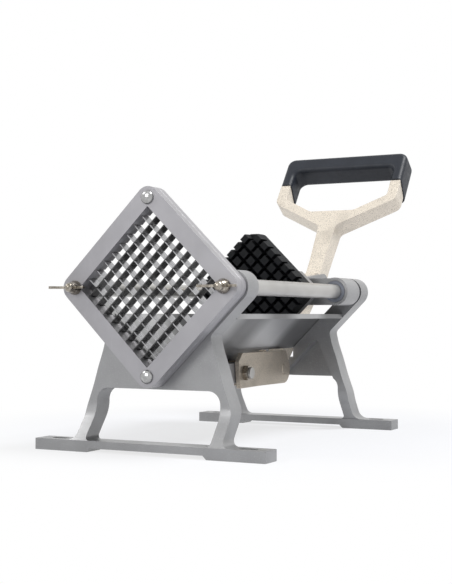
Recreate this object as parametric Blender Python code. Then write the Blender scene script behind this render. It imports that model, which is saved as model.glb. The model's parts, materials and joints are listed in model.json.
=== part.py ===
"""French fry cutter: a blade grid set as a diamond, two guide rods, a sliding pusher and a hand lever.

X runs to the right and Y to the back, away from the blade head. Z is up, and the feet stand on z = 0.
Inside the script Y starts at the front plate's face. The root empty moves the whole object back by half
its length, so the finished part has its origin under the middle of its bounding box.
"""
import math

import bmesh
import bpy
from mathutils import Vector

MM = 0.001
ROOT_TWO = math.sqrt(2.0)

# How round things are drawn
ROUND_SIDES = 24
SMALL_SIDES = 16
SMALL_RADIUS = 6.0 * MM
EAR_STEPS = 20
CORNER_STEPS = 5
DOME_STEPS = 4
END_STEPS = 12
SMOOTH_ANGLE = math.radians(35.0)
HEX_SIDES = 6

# Clearances that many pieces share
GAP = 0.3 * MM
CUT_OVERRUN = 2.0 * MM
JOIN_SINK = 2.0 * MM

# Cutting opening: a square stood on its corner
HEAD_Z = 126.5 * MM
OPENING_SIDE = 86.0 * MM
HALF_DIAGONAL = OPENING_SIDE / ROOT_TWO

# Front plate and the blade holder behind it
PLATE_SIDE = 113.4 * MM
PLATE_CORNER = 10.0 * MM
PLATE_DEPTH = 7.0 * MM
HOLDER_DEPTH = 7.4 * MM
HOLDER_Y = PLATE_DEPTH + GAP
HEAD_SCREW_OUT = 6.7 * MM
HEAD_SCREW_RADIUS = 2.5 * MM
HEAD_SCREW_HEAD_RADIUS = 5.3 * MM
HEAD_SCREW_HEAD_HEIGHT = 3.4 * MM
HEAD_SCREW_TIP = 1.4 * MM
HEAD_NUT_RADIUS = 4.6 * MM
HEAD_NUT_DEPTH = 4.0 * MM
NUT_POCKET_RADIUS = 5.3 * MM
NUT_POCKET_DEPTH = 7.0 * MM

# Blade grid: two sets of blades that interlock by half-lap slots
BLADES_EACH_WAY = 8
BLADE_PITCH = OPENING_SIDE / (BLADES_EACH_WAY + 1)
BLADE_THICKNESS = 0.7 * MM
BLADE_DEPTH = 6.8 * MM
BLADE_END = 4.0 * MM
BLADE_SLOT = BLADE_THICKNESS + 2.0 * GAP

# Guide rods with reduced ends that pass through the stands and the head
ROD_SET_OUT = 4.0 * MM
ROD_X = HALF_DIAGONAL + ROD_SET_OUT
ROD_RADIUS = 6.25 * MM
STUD_RADIUS = 3.0 * MM
STUD_HOLE_RADIUS = STUD_RADIUS + GAP
STUD_FRONT = 8.0 * MM
STUD_CHAMFER = 0.8 * MM
ROD_NUT_RADIUS = 6.5 * MM
ROD_NUT_DEPTH = 5.5 * MM
STUD_PAST_NUT = 2.5 * MM

# Wing nuts that clamp the head: a domed hub with two thin wings
WING_HUB_RADIUS = 5.2 * MM
WING_HUB_BASE = 3.0 * MM
WING_DOME_RADIUS = 4.5 * MM
WING_HUB_LENGTH = 12.0 * MM
WING_BORE_DEPTH = 8.6 * MM
WING_REACH = 19.0 * MM
WING_THICKNESS = 2.4 * MM
WING_ROOT_LOW = 2.5 * MM
WING_ROOT_HIGH = 9.5 * MM
WING_TIP_LOW = 10.5 * MM
WING_TIP_HIGH = 15.5 * MM
WING_TIP_ROUND = 2.0 * MM

# Stands: an open V with an ear each side, a pocketed web, and two legs that kick outward to the foot
STAND_DEPTH = 18.0 * MM
STAND_Y = HOLDER_Y + HOLDER_DEPTH + GAP
STAND_SPAN = 217.0 * MM
REAR_STAND_Y = STAND_Y + 2.0 * STAND_DEPTH + STAND_SPAN
EAR_RADIUS = 12.5 * MM
OUTER_HALF_DIAGONAL = ROD_X + EAR_RADIUS * ROOT_TWO
WAIST_DROP = 36.5 * MM
WAIST_ROUND = 5.0 * MM
LEG_OUTER_X = 63.5 * MM
LEG_THICKNESS = 9.2 * MM
LEG_KNEE_Z = 34.0 * MM
LEG_EDGE_SHARES = ((0.145, 0.202), (0.407, 0.436), (0.657, 0.704))
LEG_KICK = 17.7 * MM
LEG_KICK_START_Z = 31.0 * MM
LEG_FLARE = 4.5 * MM
WEB_BOTTOM_Z = 48.7 * MM
WEB_ROUND = 10.0 * MM
POCKET_DEPTH = 10.0 * MM
POCKET_BAND = 17.5 * MM
POCKET_BELOW_WAIST = 10.8 * MM
POCKET_LEG_RIM = 17.0 * MM
POCKET_ROUND = 3.0 * MM
FOOT_WIDTH = 200.0 * MM
FOOT_HEIGHT = 8.8 * MM
FOOT_LIP = 0.3 * MM
FOOT_RAISE = 3.0 * MM
FOOT_PAD_LENGTH = 48.0 * MM
FOOT_SLOT_IN = 18.0 * MM
FOOT_SLOT_LENGTH = 15.0 * MM
FOOT_SLOT_WIDTH = 6.5 * MM
REAR_NOTCH_FLOOR_Z = 61.0 * MM

# Trough: a folded sheet in the V, with a flange each side between the stands
SHEET = 1.5 * MM
TROUGH_TOP_BELOW_HEAD = 20.1 * MM
FLANGE_REACH = 59.0 * MM
FLANGE_LIP = 4.0 * MM
TROUGH_END_CLEAR = 1.0 * MM
TROUGH_SLOT_START = 91.0 * MM
TROUGH_SLOT_CLEAR = 1.3 * MM

# Carriage: pusher pad, hub, crossbar, two sleeves with bushes, and two lugs for the lever
REST_CLEARANCE = 4.0 * MM
SLEEVE_LENGTH = 30.0 * MM
SLEEVE_RADIUS = 12.5 * MM
BUSH_RADIUS = 9.5 * MM
BUSH_PROUD = 0.5 * MM
CROSSBAR_DEPTH = 24.0 * MM
CROSSBAR_INSET = 0.6 * MM
HUB_HALF_WIDTH = 22.0 * MM
HUB_LENGTH = 11.0 * MM
PAD_DEPTH = 9.7 * MM
PAD_INSET = 0.8 * MM
PAD_ABOVE_HEAD = 18.0 * MM
EAR_CLEARANCE = 0.8 * MM
LUG_THICKNESS = 5.9 * MM
LUG_END_RADIUS = 12.0 * MM
PIVOT_BEHIND_CROSSBAR = 75.0 * MM
PIVOT_ABOVE_HEAD = 7.5 * MM

# Pusher block: a moulded base with a field of studs that enter the blade grid
PUSHER_SLIDE_GAP = 0.7 * MM
PUSHER_BASE = 8.0 * MM
STUD_BLOCK_HEIGHT = 9.0 * MM
STUD_SIDE_CLEARANCE = 0.575 * MM
STUD_BLOCK_WIDTH = BLADE_PITCH - BLADE_THICKNESS - 2.0 * STUD_SIDE_CLEARANCE
STUD_TOP_SHARE = 0.86
PUSHER_SCREW_RADIUS = 2.5 * MM
PUSHER_SCREW_HEAD_RADIUS = 4.4 * MM
PUSHER_SCREW_HEAD_HEIGHT = 2.8 * MM
PUSHER_SCREW_BITE = 5.0 * MM
PUSHER_SCREW_SHARES = ((0.62, 0.16), (0.24, -0.55))

# Lever: lower arm, stem, forked yoke and a grip moulded over its core
LEVER_TILT = math.radians(36.5)
LEVER_HALF = 7.75 * MM
LEVER_ARM_HALF = 7.2 * MM
LEVER_ARM_WIDTH = 16.0 * MM
LEVER_BOSS_RADIUS = 13.0 * MM
LEVER_FOOT_RADIUS = 12.5 * MM
LEVER_SIDE_GAP = 0.35 * MM
PIN_RADIUS = 5.0 * MM
PIN_HEAD_RADIUS = 8.0 * MM
PIN_HEAD_DEPTH = 3.2 * MM
PIN_NUT_DEPTH = 5.5 * MM
PIN_PAST_NUT = 2.0 * MM
LEVER_DEPTH = 18.0 * MM
LEVER_FACE = 3.5 * MM
STEM_PARALLEL_S = 30.0 * MM
CROTCH_HALF = 9.5 * MM
CROTCH_S = 77.0 * MM
CROTCH_ROUND = 7.0 * MM
YOKE_HALF_WIDTH = 67.0 * MM
YOKE_ARM = 10.5 * MM
YOKE_OUTER_S = 110.0 * MM
YOKE_INNER_S = 115.5 * MM
YOKE_FLOOR_S = 96.5 * MM
YOKE_FLOOR_HALF = 24.0 * MM
YOKE_ROUND = 9.0 * MM
YOKE_INNER_ROUND = 5.0 * MM
CORE_WALL = 3.0 * MM
CORE_DEPTH = 9.0 * MM
CORE_START_S = 118.0 * MM

GRIP_START_S = 136.0 * MM
GRIP_SLANT = 12.0 * MM
GRIP_INNER_S = 155.0 * MM
GRIP_OUTER_S = 174.0 * MM
GRIP_WIDER = 1.0 * MM
GRIP_LEG = 12.5 * MM
GRIP_FRONT = 5.0 * MM
GRIP_DEPTH = 26.0 * MM
GRIP_OUTER_ROUND = 9.0 * MM
GRIP_INNER_ROUND = 7.0 * MM
GRIP_EDGE = 2.6 * MM

# Link under the trough, its anchor on the front stand, and their pivots
LINK_LENGTH = 81.0 * MM
LINK_PIVOT_BELOW_HEAD = 70.5 * MM
LEVER_FOOT_AHEAD = 91.0 * MM
LINK_CHEEK = 3.9 * MM
LINK_RADIUS = 13.0 * MM
LINK_NOSE = 12.0 * MM
LINK_NOSE_CHAMFER = 7.0 * MM
LINK_WEB_THICKNESS = 4.0 * MM
LINK_WEB_START = 17.0 * MM
LINK_WEB_END = 52.0 * MM
LINK_PIN_RADIUS = 4.7 * MM
LINK_HEAD_RADIUS = 7.0 * MM
LINK_HEAD_DEPTH = 3.0 * MM
LINK_NUT_DEPTH = 4.5 * MM
ANCHOR_TONGUE_HALF = 7.5 * MM
ANCHOR_TONGUE_RADIUS = 9.0 * MM
ANCHOR_FLANGE_HALF = 22.0 * MM
ANCHOR_FLANGE_DEPTH = 4.0 * MM
ANCHOR_FLANGE_DROP = 6.5 * MM
ANCHOR_FLANGE_RISE = 7.5 * MM
ANCHOR_SCREW_X = 14.5 * MM
ANCHOR_SCREW_RADIUS = 2.3 * MM
ANCHOR_SCREW_HEAD_RADIUS = 4.0 * MM
ANCHOR_SCREW_HEAD_HEIGHT = 2.6 * MM
ANCHOR_SCREW_BITE = 5.0 * MM

# Places worked out from the sizes above
SLEEVE_Y = REAR_STAND_Y - STAND_DEPTH - REST_CLEARANCE - SLEEVE_LENGTH
CROSSBAR_REAR_Y = SLEEVE_Y + CROSSBAR_DEPTH
PAD_Y = SLEEVE_Y - HUB_LENGTH - PAD_DEPTH
PUSHER_BASE_Y = PAD_Y - GAP - PUSHER_BASE
TROUGH_TOP_Z = HEAD_Z - TROUGH_TOP_BELOW_HEAD
TROUGH_HALF = HALF_DIAGONAL - GAP * ROOT_TWO
TROUGH_INNER_HALF = TROUGH_HALF - SHEET * ROOT_TWO
PUSHER_HALF_SIDE = TROUGH_INNER_HALF / ROOT_TWO - PUSHER_SLIDE_GAP
PUSHER_CORNER = ROD_X - EAR_RADIUS - EAR_CLEARANCE
LUG_INNER = LEVER_HALF + LEVER_SIDE_GAP
LUG_OUTER = LUG_INNER + LUG_THICKNESS
LEVER_PIVOT = (CROSSBAR_REAR_Y + PIVOT_BEHIND_CROSSBAR, HEAD_Z + PIVOT_ABOVE_HEAD)
LINK_END = (LEVER_PIVOT[0] - LEVER_FOOT_AHEAD, HEAD_Z - LINK_PIVOT_BELOW_HEAD)
LINK_PIVOT = (LINK_END[0] - LINK_LENGTH, LINK_END[1])

ALUMINIUM = ("cast_aluminium", (0.60, 0.61, 0.63), 0.42, 0.75)
SATIN_STEEL = ("satin_steel", (0.66, 0.65, 0.63), 0.28, 0.95)
BLADE_STEEL = ("blade_steel", (0.55, 0.56, 0.57), 0.22, 1.0)
SHEET_STEEL = ("sheet_steel", (0.58, 0.58, 0.59), 0.32, 0.9)
NICKEL = ("nickel_casting", (0.72, 0.68, 0.61), 0.38, 0.9)
GRIP_PLASTIC = ("grip_plastic", (0.035, 0.042, 0.055), 0.5, 0.0)
PUSHER_PLASTIC = ("pusher_plastic", (0.012, 0.013, 0.016), 0.55, 0.0)
BUSH_PLASTIC = ("bush_plastic", (0.33, 0.34, 0.36), 0.5, 0.0)


def clear_scene():
    """Remove what is in the file, so that each run starts empty."""
    for item in list(bpy.data.objects):
        bpy.data.objects.remove(item)


def front_view(across, up, depth):
    """A point drawn from the front: X right, Z up, at a depth along Y."""
    return Vector((across, depth, up))


def side_view(back, up, out):
    """A point drawn from the right: Y back, Z up, at an offset along X."""
    return Vector((out, back, up))


def top_view(across, back, up):
    """A point drawn from above: X right, Y back, at a height."""
    return Vector((across, back, up))


def lever_view(across, along, depth):
    """A point drawn on the tilted lever: across it, along its stem from the pivot, and back from there."""
    back = LEVER_PIVOT[0] + along * math.sin(LEVER_TILT) + depth * math.cos(LEVER_TILT)
    up = LEVER_PIVOT[1] + along * math.cos(LEVER_TILT) - depth * math.sin(LEVER_TILT)
    return Vector((across, back, up))


def arc(centre, radius, start, end, steps):
    """Points on an arc, from one angle to another."""
    points = []
    for step in range(steps + 1):
        angle = start + (end - start) * step / steps
        points.append((centre[0] + radius * math.cos(angle), centre[1] + radius * math.sin(angle)))
    return points


def sides_for(radius):
    """How many sides a round shape of this radius is drawn with."""
    return ROUND_SIDES if radius > SMALL_RADIUS else SMALL_SIDES


def circle(centre, radius, sides=0):
    """Points round a circle, on as many sides as its radius needs unless told."""
    sides = sides or sides_for(radius)
    return arc(centre, radius, 0.0, math.tau * (sides - 1) / sides, sides - 1)


def rounded(corners):
    """An outline from (across, up, radius) corners, each turned by an arc of its own radius."""
    outline = []
    for index, (across, up, radius) in enumerate(corners):
        corner = Vector((across, up))
        if not radius:
            outline.append((across, up))
            continue
        before = (Vector(corners[index - 1][:2]) - corner).normalized()
        after = (Vector(corners[(index + 1) % len(corners)][:2]) - corner).normalized()
        half_angle = before.angle(after) / 2.0
        centre = corner + (before + after).normalized() * radius / math.sin(half_angle)
        first = corner + before * radius / math.tan(half_angle) - centre
        last = corner + after * radius / math.tan(half_angle) - centre
        start = math.atan2(first.y, first.x)
        turn = math.remainder(math.atan2(last.y, last.x) - start, math.tau)
        outline += arc(centre, radius, start, start + turn, CORNER_STEPS)
    return outline


def mirrored(half):
    """A whole outline from its right half, whose first and last points lie on the middle line."""
    return half + [(-across, up) for across, up in reversed(half[1:-1])]


def diamond(half_diagonal, radius):
    """A square stood on its corner about the middle of the head, with round corners."""
    ways = ((1, 0), (0, 1), (-1, 0), (0, -1))
    corners = [(half_diagonal * x, HEAD_Z + half_diagonal * z, radius) for x, z in ways]
    return rounded(corners)


def turned_to_diamond(along, across):
    """A point of the upright square, along and across its sides, turned by 45 degrees onto the head."""
    return ((along - across) / ROOT_TWO, HEAD_Z + (along + across) / ROOT_TWO)


def face_outward(bm):
    """Point the faces of a closed body outward."""
    bmesh.ops.recalc_face_normals(bm, faces=bm.faces[:])
    if bm.calc_volume(signed=True) < 0.0:
        bmesh.ops.reverse_faces(bm, faces=bm.faces[:])


def prism(outline, low, high, view, holes=()):
    """An outline, with any holes, drawn in a view and filled between two depths."""
    bm = bmesh.new()
    edges = []
    for loop in (outline, *holes):
        corners = [bm.verts.new((across, up, low)) for across, up in loop]
        edges += [bm.edges.new((corners[index - 1], corners[index])) for index in range(len(corners))]
    if holes:
        bmesh.ops.triangle_fill(bm, edges=edges, use_beauty=True)
    else:
        bm.faces.new(bm.verts[:])
    lifted = bmesh.ops.extrude_face_region(bm, geom=bm.faces[:])["geom"]
    raised = [item for item in lifted if isinstance(item, bmesh.types.BMVert)]
    bmesh.ops.translate(bm, verts=raised, vec=(0.0, 0.0, high - low))
    for vert in bm.verts:
        vert.co = view(*vert.co)
    face_outward(bm)
    return bm


def turned(profile, centre, view, hollow=False):
    """A (radius, depth) profile turned about an axis through a centre; a hollow profile closes on itself."""
    bm = bmesh.new()
    sides = sides_for(max(radius for radius, depth in profile))
    rings = []
    for radius, depth in profile:
        if radius:
            spots = circle(centre, radius, sides)
        else:
            spots = [centre]
        rings.append([bm.verts.new(view(across, up, depth)) for across, up in spots])
    pairs = list(zip(rings, rings[1:]))
    if hollow:
        pairs.append((rings[-1], rings[0]))
    for near, far in pairs:
        for index in range(sides):
            before = index - 1
            if len(near) == 1:
                bm.faces.new((near[0], far[before], far[index]))
            elif len(far) == 1:
                bm.faces.new((near[before], near[index], far[0]))
            else:
                bm.faces.new((near[before], near[index], far[index], far[before]))
    face_outward(bm)
    return bm


def solid(bm):
    """Turn a mesh under construction into an object that Booleans can use."""
    mesh = bpy.data.meshes.new("solid")
    bm.to_mesh(mesh)
    bm.free()
    item = bpy.data.objects.new("solid", mesh)
    bpy.context.scene.collection.objects.link(item)
    return item


def boolean(target, tool, operation):
    """Apply one exact Boolean to the target and remove the tool."""
    modifier = target.modifiers.new(operation, "BOOLEAN")
    modifier.operation = operation
    modifier.solver = "EXACT"
    modifier.object = tool
    bpy.context.view_layer.update()
    graph = bpy.context.evaluated_depsgraph_get()
    mesh = bpy.data.meshes.new_from_object(target.evaluated_get(graph))
    target.modifiers.clear()
    target.data = mesh
    bpy.data.objects.remove(tool)


def join(target, bm):
    """Fuse a body with the target."""
    boolean(target, solid(bm), "UNION")


def cut(target, bm):
    """Take a body out of the target."""
    boolean(target, solid(bm), "DIFFERENCE")


def round_bar(centre, radius, low, high, view):
    """One plain cylinder between two depths."""
    return turned([(0.0, low), (radius, low), (radius, high), (0.0, high)], centre, view)


def hex_nut(place, radius, bolt_radius, low, high, view):
    """A hexagonal nut, bored with a clearance for its bolt."""
    return prism(circle(place, radius, HEX_SIDES), low, high, view, [circle(place, bolt_radius + GAP)])


def rectangle(left, right, bottom, top):
    """A rectangular outline."""
    return [(left, bottom), (right, bottom), (right, top), (left, top)]


def material(look):
    """A Principled material, made once for each look."""
    name, colour, roughness, metallic = look
    existing = bpy.data.materials.get(name)
    if existing:
        return existing
    made = bpy.data.materials.new(name)
    made.use_nodes = True
    shader = made.node_tree.nodes["Principled BSDF"]
    shader.inputs["Base Color"].default_value = (*colour, 1.0)
    shader.inputs["Roughness"].default_value = roughness
    shader.inputs["Metallic"].default_value = metallic
    return made


def piece(name, item, look, parent, pivot=(0.0, 0.0, 0.0)):
    """Finish one named piece: material, smooth round faces, its parent, and its origin on its pivot."""
    item.name = name
    item.data.name = name
    for vert in item.data.vertices:
        vert.co -= Vector(pivot)
    item.location = pivot
    item.parent = parent
    item.data.materials.clear()
    item.data.materials.append(material(look))
    item.data.shade_smooth()
    item.data.set_sharp_from_angle(angle=SMOOTH_ANGLE)
    return item


def head_screw_places():
    """The two screws of the head, above and below the opening."""
    out = HALF_DIAGONAL + HEAD_SCREW_OUT
    return ((0.0, HEAD_Z + out), (0.0, HEAD_Z - out))


def rod_places():
    """The axes of the two guide rods."""
    return ((-ROD_X, HEAD_Z), (ROD_X, HEAD_Z))


def head_holes():
    """The screw holes and stud holes that the plate and the blade holder share."""
    screws = [circle(place, HEAD_SCREW_RADIUS + GAP) for place in head_screw_places()]
    return screws + [circle(place, STUD_HOLE_RADIUS) for place in rod_places()]


def front_plate(root):
    """The plate that covers the blade ends."""
    outline = diamond(PLATE_SIDE / ROOT_TWO, PLATE_CORNER)
    holes = [diamond(HALF_DIAGONAL, 0.0)] + head_holes()
    body = prism(outline, 0.0, PLATE_DEPTH, front_view, holes)
    piece("front_plate", solid(body), ALUMINIUM, root)


def blade_places():
    """Offsets of one set of blades from the middle of the opening."""
    middle = (BLADES_EACH_WAY - 1) / 2.0
    return [(index - middle) * BLADE_PITCH for index in range(BLADES_EACH_WAY)]


def notched_opening():
    """The holder's square opening, with a slot for the end of every blade on each of its four sides."""
    half = OPENING_SIDE / 2.0
    deep = half + BLADE_END
    side = [(-half, half)]
    for place in blade_places():
        near = place - BLADE_SLOT / 2.0
        far = place + BLADE_SLOT / 2.0
        side += [(near, half), (near, deep), (far, deep), (far, half)]
    outline = []
    for turn in range(4):
        outline += [turned_to_diamond(along, across) for along, across in side]
        side = [(across, -along) for along, across in side]
    return outline


def blade_holder(root):
    """The ring behind the plate that the blades sit in."""
    outline = diamond(PLATE_SIDE / ROOT_TWO, PLATE_CORNER)
    holes = [notched_opening()] + head_holes()
    body = prism(outline, HOLDER_Y, HOLDER_Y + HOLDER_DEPTH, front_view, holes)
    piece("blade_holder", solid(body), ALUMINIUM, root)


def blade_outline(slots_in_front):
    """A blade seen flat: its length, its depth and the half-lap slots for the blades that cross it."""
    half = OPENING_SIDE / 2.0 + BLADE_END - GAP
    front = HOLDER_Y + (HOLDER_DEPTH - BLADE_DEPTH) / 2.0
    rear = front + BLADE_DEPTH
    middle = (front + rear) / 2.0
    open_edge, floor, closed_edge = rear, middle - GAP / 2.0, front
    if slots_in_front:
        open_edge, floor, closed_edge = front, middle + GAP / 2.0, rear
    outline = [(-half, closed_edge), (-half, open_edge)]
    for place in blade_places():
        near = place - BLADE_SLOT / 2.0
        far = place + BLADE_SLOT / 2.0
        outline += [(near, open_edge), (near, floor), (far, floor), (far, open_edge)]
    return outline + [(half, open_edge), (half, closed_edge)]


def blades(root):
    """Both sets of blades, each blade its own piece."""
    half = BLADE_THICKNESS / 2.0
    for rising in (True, False):
        outline = blade_outline(slots_in_front=rising)
        for index, place in enumerate(blade_places()):

            def blade_view(along, depth, across, rising=rising, place=place):
                """A point of this blade: along it, back through it, and across its thickness."""
                pair = (along, place + across) if rising else (place + across, along)
                across_head, up = turned_to_diamond(*pair)
                return Vector((across_head, depth, up))

            body = prism(outline, -half, half, blade_view)
            name = "rising" if rising else "falling"
            piece(f"blade_{name}_{index + 1}", solid(body), BLADE_STEEL, root)


def dome(radius, height, base, outward):
    """The profile of a domed head, from its rim to its crown."""
    points = []
    for step in range(DOME_STEPS + 1):
        angle = math.pi / 2.0 * step / DOME_STEPS
        points.append((radius * math.cos(angle), base + outward * height * math.sin(angle)))
    points[-1] = (0.0, base + outward * height)
    return points


def head_fasteners(root):
    """The two domed screws of the head and the nuts behind it."""
    nut_y = STAND_Y
    tip = nut_y + HEAD_NUT_DEPTH + HEAD_SCREW_TIP
    crown = dome(HEAD_SCREW_HEAD_RADIUS, HEAD_SCREW_HEAD_HEIGHT, -GAP, -1.0)
    profile = crown[::-1] + [(HEAD_SCREW_RADIUS, -GAP), (HEAD_SCREW_RADIUS, tip), (0.0, tip)]
    for end, place in zip(("top", "bottom"), head_screw_places()):
        screw = turned(profile, place, front_view)
        piece(f"head_screw_{end}", solid(screw), SATIN_STEEL, root)
        nut = hex_nut(place, HEAD_NUT_RADIUS, HEAD_SCREW_RADIUS, nut_y, nut_y + HEAD_NUT_DEPTH, front_view)
        piece(f"head_nut_{end}", solid(nut), SATIN_STEEL, root)


def wing_outline(side):
    """One wing seen from above: it leaves the hub and rises forward to a round tip."""
    root_x = (WING_DOME_RADIUS - JOIN_SINK) * side
    tip_x = WING_REACH * side
    corners = [
        (root_x, -WING_ROOT_LOW, 0.0),
        (tip_x, -WING_TIP_LOW, WING_TIP_ROUND),
        (tip_x, -WING_TIP_HIGH, WING_TIP_ROUND),
        (root_x, -WING_ROOT_HIGH, 0.0),
    ]
    return rounded(corners)


def wing_nuts(root):
    """The wing nuts on the studs in front of the plate."""
    profile = [(0.0, -GAP), (WING_HUB_RADIUS, -GAP), (WING_HUB_RADIUS, -WING_HUB_BASE)]
    dome_base = -(WING_HUB_LENGTH - WING_DOME_RADIUS)
    profile += dome(WING_DOME_RADIUS, WING_DOME_RADIUS, dome_base, -1.0)
    half = WING_THICKNESS / 2.0
    for name, place in zip(("wing_nut_left", "wing_nut_right"), rod_places()):

        def wing_view(across, back, up, place=place):
            """A point drawn from above, from this nut's own axis."""
            return Vector((place[0] + across, back, place[1] + up))

        nut = solid(turned(profile, place, front_view))
        for side in (-1.0, 1.0):
            join(nut, prism(wing_outline(side), -half, half, wing_view))
        cut(nut, round_bar(place, STUD_HOLE_RADIUS, -WING_BORE_DEPTH, CUT_OVERRUN, front_view))
        piece(name, nut, SATIN_STEEL, root, (place[0], 0.0, place[1]))


def guide_rods(root):
    """The rods, with reduced ends through both stands, and the nuts behind the rear stand."""
    near = STAND_Y + STAND_DEPTH + GAP
    far = REAR_STAND_Y - STAND_DEPTH - GAP
    nut_y = REAR_STAND_Y + GAP
    tip = nut_y + ROD_NUT_DEPTH + STUD_PAST_NUT
    slim = STUD_RADIUS - STUD_CHAMFER
    profile = [
        (0.0, -STUD_FRONT),
        (slim, -STUD_FRONT),
        (STUD_RADIUS, -STUD_FRONT + STUD_CHAMFER),
        (STUD_RADIUS, near),
        (ROD_RADIUS, near),
        (ROD_RADIUS, far),
        (STUD_RADIUS, far),
        (STUD_RADIUS, tip - STUD_CHAMFER),
        (slim, tip),
        (0.0, tip),
    ]
    for side, place in zip(("left", "right"), rod_places()):
        piece(f"guide_rod_{side}", solid(turned(profile, place, front_view)), SATIN_STEEL, root)
        nut = hex_nut(place, ROD_NUT_RADIUS, STUD_RADIUS, nut_y, nut_y + ROD_NUT_DEPTH, front_view)
        piece(f"rear_rod_nut_{side}", solid(nut), SATIN_STEEL, root)


def stand_outline():
    """A stand seen from the front: open V, round ears, waist, legs and the web between them."""
    ear = (ROD_X, HEAD_Z)
    ear_to_v = (ROD_X - HALF_DIAGONAL) / ROOT_TWO
    start = math.radians(225.0) - math.asin(ear_to_v / EAR_RADIUS)
    waist = (OUTER_HALF_DIAGONAL - WAIST_DROP, HEAD_Z - WAIST_DROP)
    buried_z = FOOT_HEIGHT - JOIN_SINK
    inner_x = LEG_OUTER_X - LEG_THICKNESS
    corners = [(0.0, HEAD_Z - HALF_DIAGONAL, 0.0)]
    corners += [(x, z, 0.0) for x, z in arc(ear, EAR_RADIUS, start, math.radians(-45.0), EAR_STEPS)]
    corners.append((*waist, WAIST_ROUND))
    for share_x, share_z in LEG_EDGE_SHARES:
        edge_x = waist[0] + (LEG_OUTER_X - waist[0]) * share_x
        edge_z = waist[1] + (LEG_KNEE_Z - waist[1]) * share_z
        corners.append((edge_x, edge_z, 0.0))
    corners += [
        (LEG_OUTER_X, LEG_KNEE_Z, 0.0),
        (LEG_OUTER_X, FOOT_HEIGHT + LEG_FLARE, 0.0),
        (LEG_OUTER_X + LEG_FLARE, FOOT_HEIGHT, 0.0),
        (LEG_OUTER_X + LEG_FLARE, buried_z, 0.0),
        (inner_x, buried_z, 0.0),
        (inner_x, WEB_BOTTOM_Z, WEB_ROUND),
        (0.0, WEB_BOTTOM_Z, 0.0),
    ]
    return mirrored(rounded(corners))


def kicked_stand(view):
    """The stand's casting without its foot, its legs kicked outward below the knee."""
    bm = prism(stand_outline(), 0.0, STAND_DEPTH, front_view)
    for height in (LEG_KICK_START_Z, FOOT_HEIGHT):
        everything = bm.verts[:] + bm.edges[:] + bm.faces[:]
        bmesh.ops.bisect_plane(bm, geom=everything, plane_co=(0.0, 0.0, height), plane_no=(0.0, 0.0, 1.0))
    for vert in bm.verts:
        fall = (LEG_KICK_START_Z - vert.co.z) / (LEG_KICK_START_Z - FOOT_HEIGHT)
        depth = vert.co.y - LEG_KICK * min(max(fall, 0.0), 1.0)
        vert.co = view(vert.co.x, vert.co.z, depth)
    face_outward(bm)
    return bm


def foot_outline():
    """The foot seen from the front: a bar raised off the table between its two pads."""
    half = FOOT_WIDTH / 2.0
    pad = half - FOOT_PAD_LENGTH
    right = [
        (0.0, FOOT_RAISE),
        (pad - FOOT_RAISE, FOOT_RAISE),
        (pad, 0.0),
        (half, 0.0),
        (half, FOOT_HEIGHT),
        (0.0, FOOT_HEIGHT),
    ]
    return mirrored(right)


def pocket_outline(side):
    """One triangular pocket of the web, open at the bottom, beside the V's band."""
    low = WEB_BOTTOM_Z - CUT_OVERRUN
    top = HEAD_Z - WAIST_DROP - POCKET_BELOW_WAIST
    band = HEAD_Z - HALF_DIAGONAL - POCKET_BAND * ROOT_TWO
    corners = [
        ((low - band) * side, low, 0.0),
        ((top - band) * side, top, POCKET_ROUND),
        ((LEG_OUTER_X - POCKET_LEG_RIM) * side, low, 0.0),
    ]
    return rounded(corners)


def slot_outline(place_x, place_y):
    """One screw slot of a foot pad, seen from above, long across the foot."""
    radius = FOOT_SLOT_WIDTH / 2.0
    reach = (FOOT_SLOT_LENGTH - FOOT_SLOT_WIDTH) / 2.0
    right = arc((place_x + reach, place_y), radius, -math.pi / 2.0, math.pi / 2.0, CORNER_STEPS)
    left = arc((place_x - reach, place_y), radius, math.pi / 2.0, math.pi * 1.5, CORNER_STEPS)
    return right + left


def stand(name, root, face_y, inward):
    """One stand with its foot. Depths run inward from its outer face."""

    def view(across, up, depth):
        """A point drawn from the front, at a depth inward from this stand's outer face."""
        return Vector((across, face_y + inward * depth, up))

    body = solid(kicked_stand(view))
    foot_front = -LEG_KICK - FOOT_LIP
    foot_rear = STAND_DEPTH - LEG_KICK + FOOT_LIP
    join(body, prism(foot_outline(), foot_front, foot_rear, view))
    for side in (-1.0, 1.0):
        cut(body, prism(pocket_outline(side), -CUT_OVERRUN, POCKET_DEPTH, view))
        slot_x = side * (FOOT_WIDTH / 2.0 - FOOT_SLOT_IN)
        slot_y = face_y + inward * (foot_front + foot_rear) / 2.0
        slot = slot_outline(slot_x, slot_y)
        cut(body, prism(slot, -CUT_OVERRUN, FOOT_HEIGHT + CUT_OVERRUN, top_view))
    for place in rod_places():
        cut(body, round_bar(place, STUD_HOLE_RADIUS, -CUT_OVERRUN, STAND_DEPTH + CUT_OVERRUN, view))
    return body, view


def front_stand(root):
    """The stand behind the head, with the nut's pocket and the anchor's screw holes."""
    body, view = stand("front_stand", root, STAND_Y, 1.0)
    nut_place = head_screw_places()[1]
    cut(body, round_bar(nut_place, NUT_POCKET_RADIUS, -CUT_OVERRUN, NUT_POCKET_DEPTH, view))
    for place in anchor_screw_places():
        deep = STAND_DEPTH - ANCHOR_SCREW_BITE - GAP
        cut(body, round_bar(place, ANCHOR_SCREW_RADIUS + GAP, deep, STAND_DEPTH + CUT_OVERRUN, view))
    piece("front_stand", body, ALUMINIUM, root)


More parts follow.
